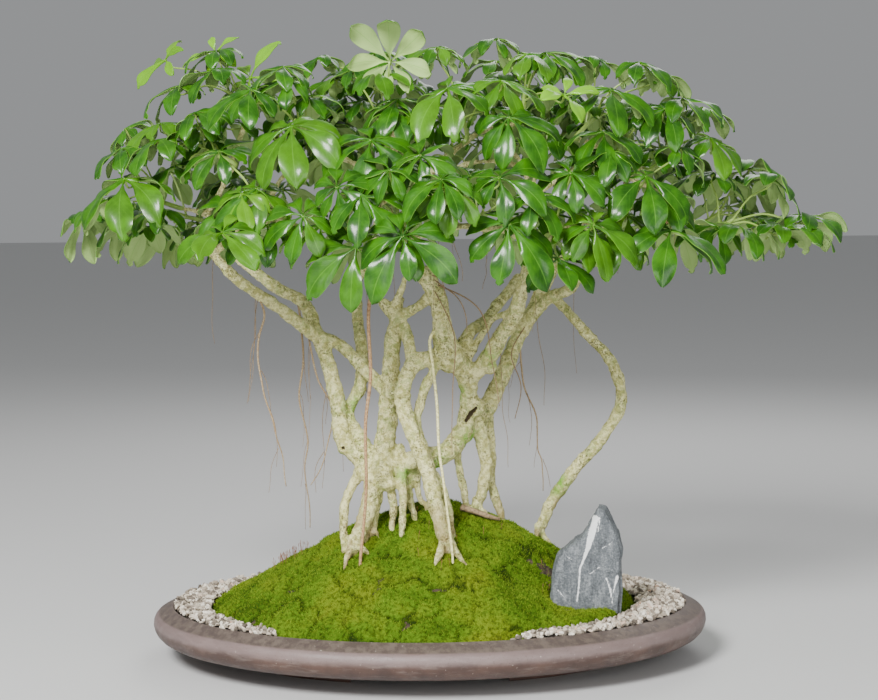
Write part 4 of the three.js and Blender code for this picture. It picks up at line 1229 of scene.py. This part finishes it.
def makeTufts(skin):
    deselectAll()
    bpy.ops.mesh.primitive_cone_add(vertices=3, radius1=moss["tuftWidth"] * 0.5, depth=1, end_fill_type="NGON")
    pattern = bpy.context.object
    spike = readPoints(pattern.data)
    spike[:, 2] += 0.5
    faces = np.array([tuple(face.vertices) for face in pattern.data.polygons])
    bpy.data.objects.remove(pattern)
    count = moss["tufts"]
    angle = rng.uniform(0, 2 * math.pi, count)
    reach = np.sqrt(rng.uniform(0, 1, count)) * 0.985
    x = mound["x"] + reach * np.cos(angle) * mound["length"] / 2
    y = mound["y"] + reach * np.sin(angle) * mound["depth"] / 2
    clump = 0.55 + 0.6 * np.array([0.5 + noise.noise(Vector((a, b, 5)) / 3.4) for a, b in zip(x, y)])
    lumps = mossLumps(x, y)
    ground = BVHTree.FromObject(skin, bpy.context.evaluated_depsgraph_get())
    tall = rng.uniform(0.6, 1.25, count) * moss["tuftHeight"] * clump
    lean = rng.normal(0, 0.34, (count, 2))
    turn = rng.uniform(0, 2 * math.pi, count)
    glow = rng.uniform(0.2, 1.5, count)
    grown, tips, creaseShades = [], [], []
    for i in range(count):
        hit, normal = ground.ray_cast(Vector(toFrame([x[i], y[i], 200])), Vector((0, 0, -1)))[:2]
        if hit is None or lumps[i] < moss["bare"]:
            continue
        axis = unit(np.array(normal) + np.array([lean[i, 0], lean[i, 1], 0.4]))
        side = unit(np.cross(axis, [math.cos(turn[i]), math.sin(turn[i]), 0.1]))
        over = np.cross(axis, side)
        spread = side * spike[:, 0:1] + over * spike[:, 1:2] + axis * (spike[:, 2:3] * tall[i] - 0.4)
        grown.append(np.array(hit) + spread * mm)
        tips.append(spike[:, 2] * glow[i])
        creaseShades.append(np.full(len(spike), 0.7 * creaseShadeOf(lumps[i])))
    corners = (faces[None] + np.arange(len(grown))[:, None, None] * len(spike)).reshape(-1, 3)
    mesh = bpy.data.meshes.new("mossTufts")
    mesh.from_pydata(np.vstack(grown).tolist(), [], corners.tolist())
    tufts = addObject("mossTufts", mesh)
    setValues(tufts, "tip", np.concatenate(tips))
    setValues(tufts, "creaseShade", np.concatenate(creaseShades))
    wear(tufts, mossMaterial("mossTips", 0.6))
    return tufts


# reddish fruiting stems of the moss, and a dead twig lying on it
def makeMossExtras():
    stems = []
    for i in range(moss["stems"]):
        far = draw(3000 + i) > 0.75
        startX, startY, wide, deep = (60, -60, 160, 90) if far else (-141, 20, 34, 60)
        x = startX + wide * (draw(3100 + i) - 0.5)
        y = startY + deep * (draw(3200 + i) - 0.5)
        foot = np.array([x, y, float(mossTop(x, y)) - 1])
        lean = np.array([3 * (draw(3300 + i) - 0.5), 3 * (draw(3400 + i) - 0.5), 6 + 5 * draw(3500 + i)])
        stems.append((smoothLine([foot, foot + lean * 0.6, foot + lean], 6), moss["stemRadii"]))
    sporeStems = makeTubes("mossStems", stems, 4, threadMaterial("mossStem", *moss["stemLook"]))
    route = [np.array([x, y, float(mossTop(x, y)) + 3.4]) for x, y in moss["twigRoute"]]
    line = (wander(route, 24, 0.9, 70), spreadRadii(moss["twigRadii"], 24))
    return sporeStems, makeTubes("fallenTwig", [line], 8, threadMaterial("deadWood", *moss["twigLook"]))


mossSkin = makeMoss()
mossTufts = makeTufts(mossSkin)
sporeStems, fallenTwig = makeMossExtras()
for piece in (mossSkin, mossTufts, sporeStems, fallenTwig):
    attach(piece, "root")
for piece in (mossSkin, mossTufts):
    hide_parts("moss")
print("moss done", len(mossSkin.data.polygons), len(mossTufts.data.polygons))


# grit: loose angular grains heaped on the bed
grit = {
    "grains": 3950, "small": 3.6, "large": 8.8, "kinds": 8, "arc": (-0.405, 1.315), "heap": 3.0,
    "wall": 254.0, "band": 42, "low": 54.5, "level": 55.5, "fleck": (0.24, 0.19, 0.16),
    "colors": [(0.0, (0.1, 0.08, 0.06)), (0.3, (0.36, 0.3, 0.23)), (0.65, (0.66, 0.58, 0.46)),
               (0.92, (0.9, 0.84, 0.72)), (1.0, (0.6, 0.38, 0.26))],
}


def gritMaterial():
    look, shader, place = startMaterial("gritStone", 0.85)
    fleck = noiseAt(place, 900, 3)
    tone = ramp(valueOf(place, "grainTone"), grit["colors"])
    cover(shader, mix(times(step(fleck, 0.5, 0.7), 0.3), tone, grit["fleck"]), fleck, 0.6, 0.0006)
    return look


def makeGrain(seed):
    deselectAll()
    bpy.ops.mesh.primitive_ico_sphere_add(subdivisions=1, radius=0.55)
    grain = bpy.context.object
    bpy.ops.object.mode_set(mode="EDIT")
    local = np.random.default_rng(seed)
    for cut in range(4):
        way = unit(local.normal(size=3))
        middle = tuple(way * local.uniform(0.24, 0.38))
        bpy.ops.mesh.select_all(action="SELECT")
        bpy.ops.mesh.bisect(plane_co=middle, plane_no=tuple(way), use_fill=True, clear_outer=True)
    bpy.ops.mesh.select_all(action="SELECT")
    bpy.ops.mesh.dissolve_limited(angle_limit=math.radians(20))
    bpy.ops.mesh.select_all(action="SELECT")
    bpy.ops.mesh.quads_convert_to_tris()
    bpy.ops.mesh.normals_make_consistent(inside=False)
    bpy.ops.object.mode_set(mode="OBJECT")
    grain.data.calc_loop_triangles()
    shape = readPoints(grain.data), [tuple(face.vertices) for face in grain.data.loop_triangles]
    bpy.data.objects.remove(grain)
    return shape


def makeGrit():
    shapes = [makeGrain(40 + i) for i in range(grit["kinds"])]
    bed = BVHTree.FromObject(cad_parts["gravel"], bpy.context.evaluated_depsgraph_get())
    first, last = grit["arc"]
    points, polygons, tones = [], [], []
    placed = 0
    for attempt in range(60000):
        if placed == grit["grains"]:
            break
        angle = rng.uniform(first, last) * math.pi
        reach = rng.uniform(-0.06, 1.0)
        edge = np.array([mound["x"] + mound["length"] / 2 * math.cos(angle),
                         mound["y"] + mound["depth"] / 2 * math.sin(angle), 0])
        wall = potPlace(np.array([grit["wall"]]), np.array([angle]), np.array([0.0]))[0]
        if rng.uniform() > np.linalg.norm(wall - edge) / grit["band"]:
            continue
        end = min(angle / math.pi - first, last - angle / math.pi) / 0.05
        if reach < 1 - end:
            continue
        spot = edge + (wall - edge) * reach
        hit = bed.ray_cast(Vector(toFrame(spot + [0, 0, 200])), Vector((0, 0, -1)))[0]
        height = grit["low"] if hit is None else hit[2] / mm
        height = max(height, grit["level"] - 1.5 * (1 - min(end, 1)))
        size = rng.uniform(grit["small"], grit["large"])
        shape, faces = shapes[rng.integers(grit["kinds"])]
        spin = np.array(Matrix.Rotation(rng.uniform(0, 6.28), 3, Vector(rng.normal(size=3)).normalized()))
        grown = (shape * [1, rng.uniform(0.42, 0.75), rng.uniform(0.34, 0.65)]) @ spin.T * size
        lift = rng.uniform(-1.8, 1.2) + grit["heap"] * math.sin(reach * math.pi) * rng.uniform() ** 2
        polygons += [tuple(corner + len(points) for corner in face) for face in faces]
        points += list(toFrame(grown + spot + [0, 0, height + lift]))
        tones += [rng.uniform(0, 1)] * len(shape)
        placed += 1
    mesh = bpy.data.meshes.new("gritGrains")
    mesh.from_pydata(points, [], polygons)
    loose = addObject("gritGrains", mesh)
    setValues(loose, "grainTone", tones)
    wear(loose, gritMaterial())
    return loose


gritGrains = makeGrit()
# the bed under the grains is painted dark brown, as painted shade in the gaps between them
wear(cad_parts["gravel"], soilMaterial("gravelShade", earth["bed"], earth["bedShadePale"]))
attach(gritGrains, "root")
print("grit done", len(gritGrains.data.polygons))


# the standing slate, with quartz veins as [x, z, width], seen from the front
slate = {
    "fine": 0.0011, "color": (0.125, 0.14, 0.15), "light": (0.34, 0.36, 0.37), "dark": (0.045, 0.05, 0.056),
    "quartz": (0.88, 0.89, 0.88),
    "veins": [
        [[166, 137, 5], [162, 122, 6.5], [158, 107, 4.5], [154, 96, 2.2], [150, 86, 1.6], [149, 69, 1.4],
         [147, 53, 1.2]],
        [[176, 77, 1], [180, 66, 1.6], [182, 52, 0.8]],
        [[187, 78, 3], [185, 71, 1.4], [183, 62, 0.6]],
        [[170, 139, 1], [168, 124, 0.8]],
        [[137, 98, 0.8], [142, 95, 0.6]],
        [[128, 64, 0.6], [135, 56, 0.8]],
        [[172, 107, 0.7], [182, 113, 0.5]],
        [[160, 81, 0.6], [170, 88, 0.6]],
    ],
    "front": -75,
    "frontFace": -52,
}


def slateMaterial():
    look, shader, place = startMaterial("slateBlue", 0.62)
    broad = times(noiseAt(stretched(place, 0.35), 130, 6, 0.65), 0.4)
    grain = plus(broad, times(noiseAt(place, 520, 6, 0.8), 0.6))
    greys = ramp(grain, [(0.38, slate["dark"]), (0.5, slate["color"]), (0.64, slate["light"])])
    ragged = plus(valueOf(place, "vein"), times(less(noiseAt(place, 420, 6, 0.75), 0.5), 2.2))
    color = mix(step(ragged, 0.42, 0.62), greys, slate["quartz"])
    cover(shader, color, plus(grain, noiseAt(place, 500, 5, 0.7)), 0.7, 0.0015)
    return look


# how much of a vein lies at each point of the front
def veinsAt(points):
    vein = np.zeros(len(points))
    for route in slate["veins"]:
        line = [np.append(sighted([x, z, slate["front"]]), width) for x, z, width in route]
        for one, two in zip(line[:-1], line[1:]):
            way = (two - one)[[0, 2]]
            share = np.clip(((points[:, [0, 2]] - one[[0, 2]]) @ way) / (way @ way), 0, 1)
            gap = np.linalg.norm(points[:, [0, 2]] - one[[0, 2]] - share[:, None] * way, axis=1)
            half = (one[3] + (two[3] - one[3]) * share) / 2
            vein = np.maximum(vein, np.clip(1 - (gap - half + 0.6) / 1.2, 0, 1))
    return vein * (points[:, 1] < slate["frontFace"])


def makeSlate():
    stone = addObject("slateStone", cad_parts["stone"].data.copy())
    weld(stone, 0.00002)
    melt(stone, slate["fine"])
    applyAll(stone)
    points = readPoints(stone.data)
    depth = np.empty(len(points))
    for i, p in enumerate(points):
        tall = Vector((p[0] * 1.4, p[1] * 1.4, p[2] * 0.5))
        plates = noise.cell(tall * 62) * 0.9 + noise.cell(tall * 131) * 0.45
        ridges = noise.ridged_multi_fractal(tall * 24, 0.9, 2.1, 4, 0.9, 2.0) * 0.5
        depth[i] = plates + ridges - 1.6 + noise.noise(Vector(p) * 300) * 0.25
    pushOut(stone.data, depth)
    soften(stone, 2)
    setValues(stone, "vein", veinsAt(readPoints(stone.data) / mm - potMiddle))
    wear(stone, slateMaterial())
    smoothBy(stone, 28)
    return stone


slateStone = makeSlate()
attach(slateStone, "root")
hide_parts("stone")
print("stone done", len(slateStone.data.polygons))


# floor, light and camera
studio = {
    "floor": (0.62, 0.62, 0.61), "air": (0.86, 0.88, 0.9), "airStrength": 0.36, "aim": (0, 0, 0.3),
    "lamps": {
        "key": {"place": (-0.9, -2.0, 1.7), "size": 0.7, "power": 122},
        "fill": {"place": (0.8, -2.0, 0.5), "size": 1.4, "power": 27},
        "back": {"place": (0.4, 1.7, 1.7), "size": 1.2, "power": 18},
    },
}


def makeStage():
    deselectAll()
    bpy.ops.mesh.primitive_plane_add(size=40)
    floor = bpy.context.object
    floor.name = "floor"
    wear(floor, startMaterial("paleFloor", 0.9, Base_Color=studio["floor"])[0])
    world = bpy.data.worlds.new("studio")
    bpy.context.scene.world = world
    world.use_nodes = True
    fill(world.node_tree.nodes["Background"], Color=studio["air"], Strength=studio["airStrength"])
    for name, lamp in studio["lamps"].items():
        light = bpy.data.lights.new(name, "AREA")
        light.size = lamp["size"]
        light.energy = lamp["power"]
        holder = addObject(name, light)
        holder.location = lamp["place"]
        aim = Vector(studio["aim"]) - Vector(lamp["place"])
        holder.rotation_euler = aim.to_track_quat("-Z", "Y").to_euler()


def makeCamera():
    camera = bpy.data.cameras.new("camera")
    camera.lens = view["lens"]
    camera.sensor_width = 36
    holder = addObject("camera", camera)
    holder.location = toFrame([view["offset"], -view["distance"], view["height"]])
    holder.rotation_euler = [math.radians(degrees) for degrees in (90 - view["tilt"], view["roll"], view["turn"])]
    bpy.context.scene.camera = holder


makeStage()
makeCamera()
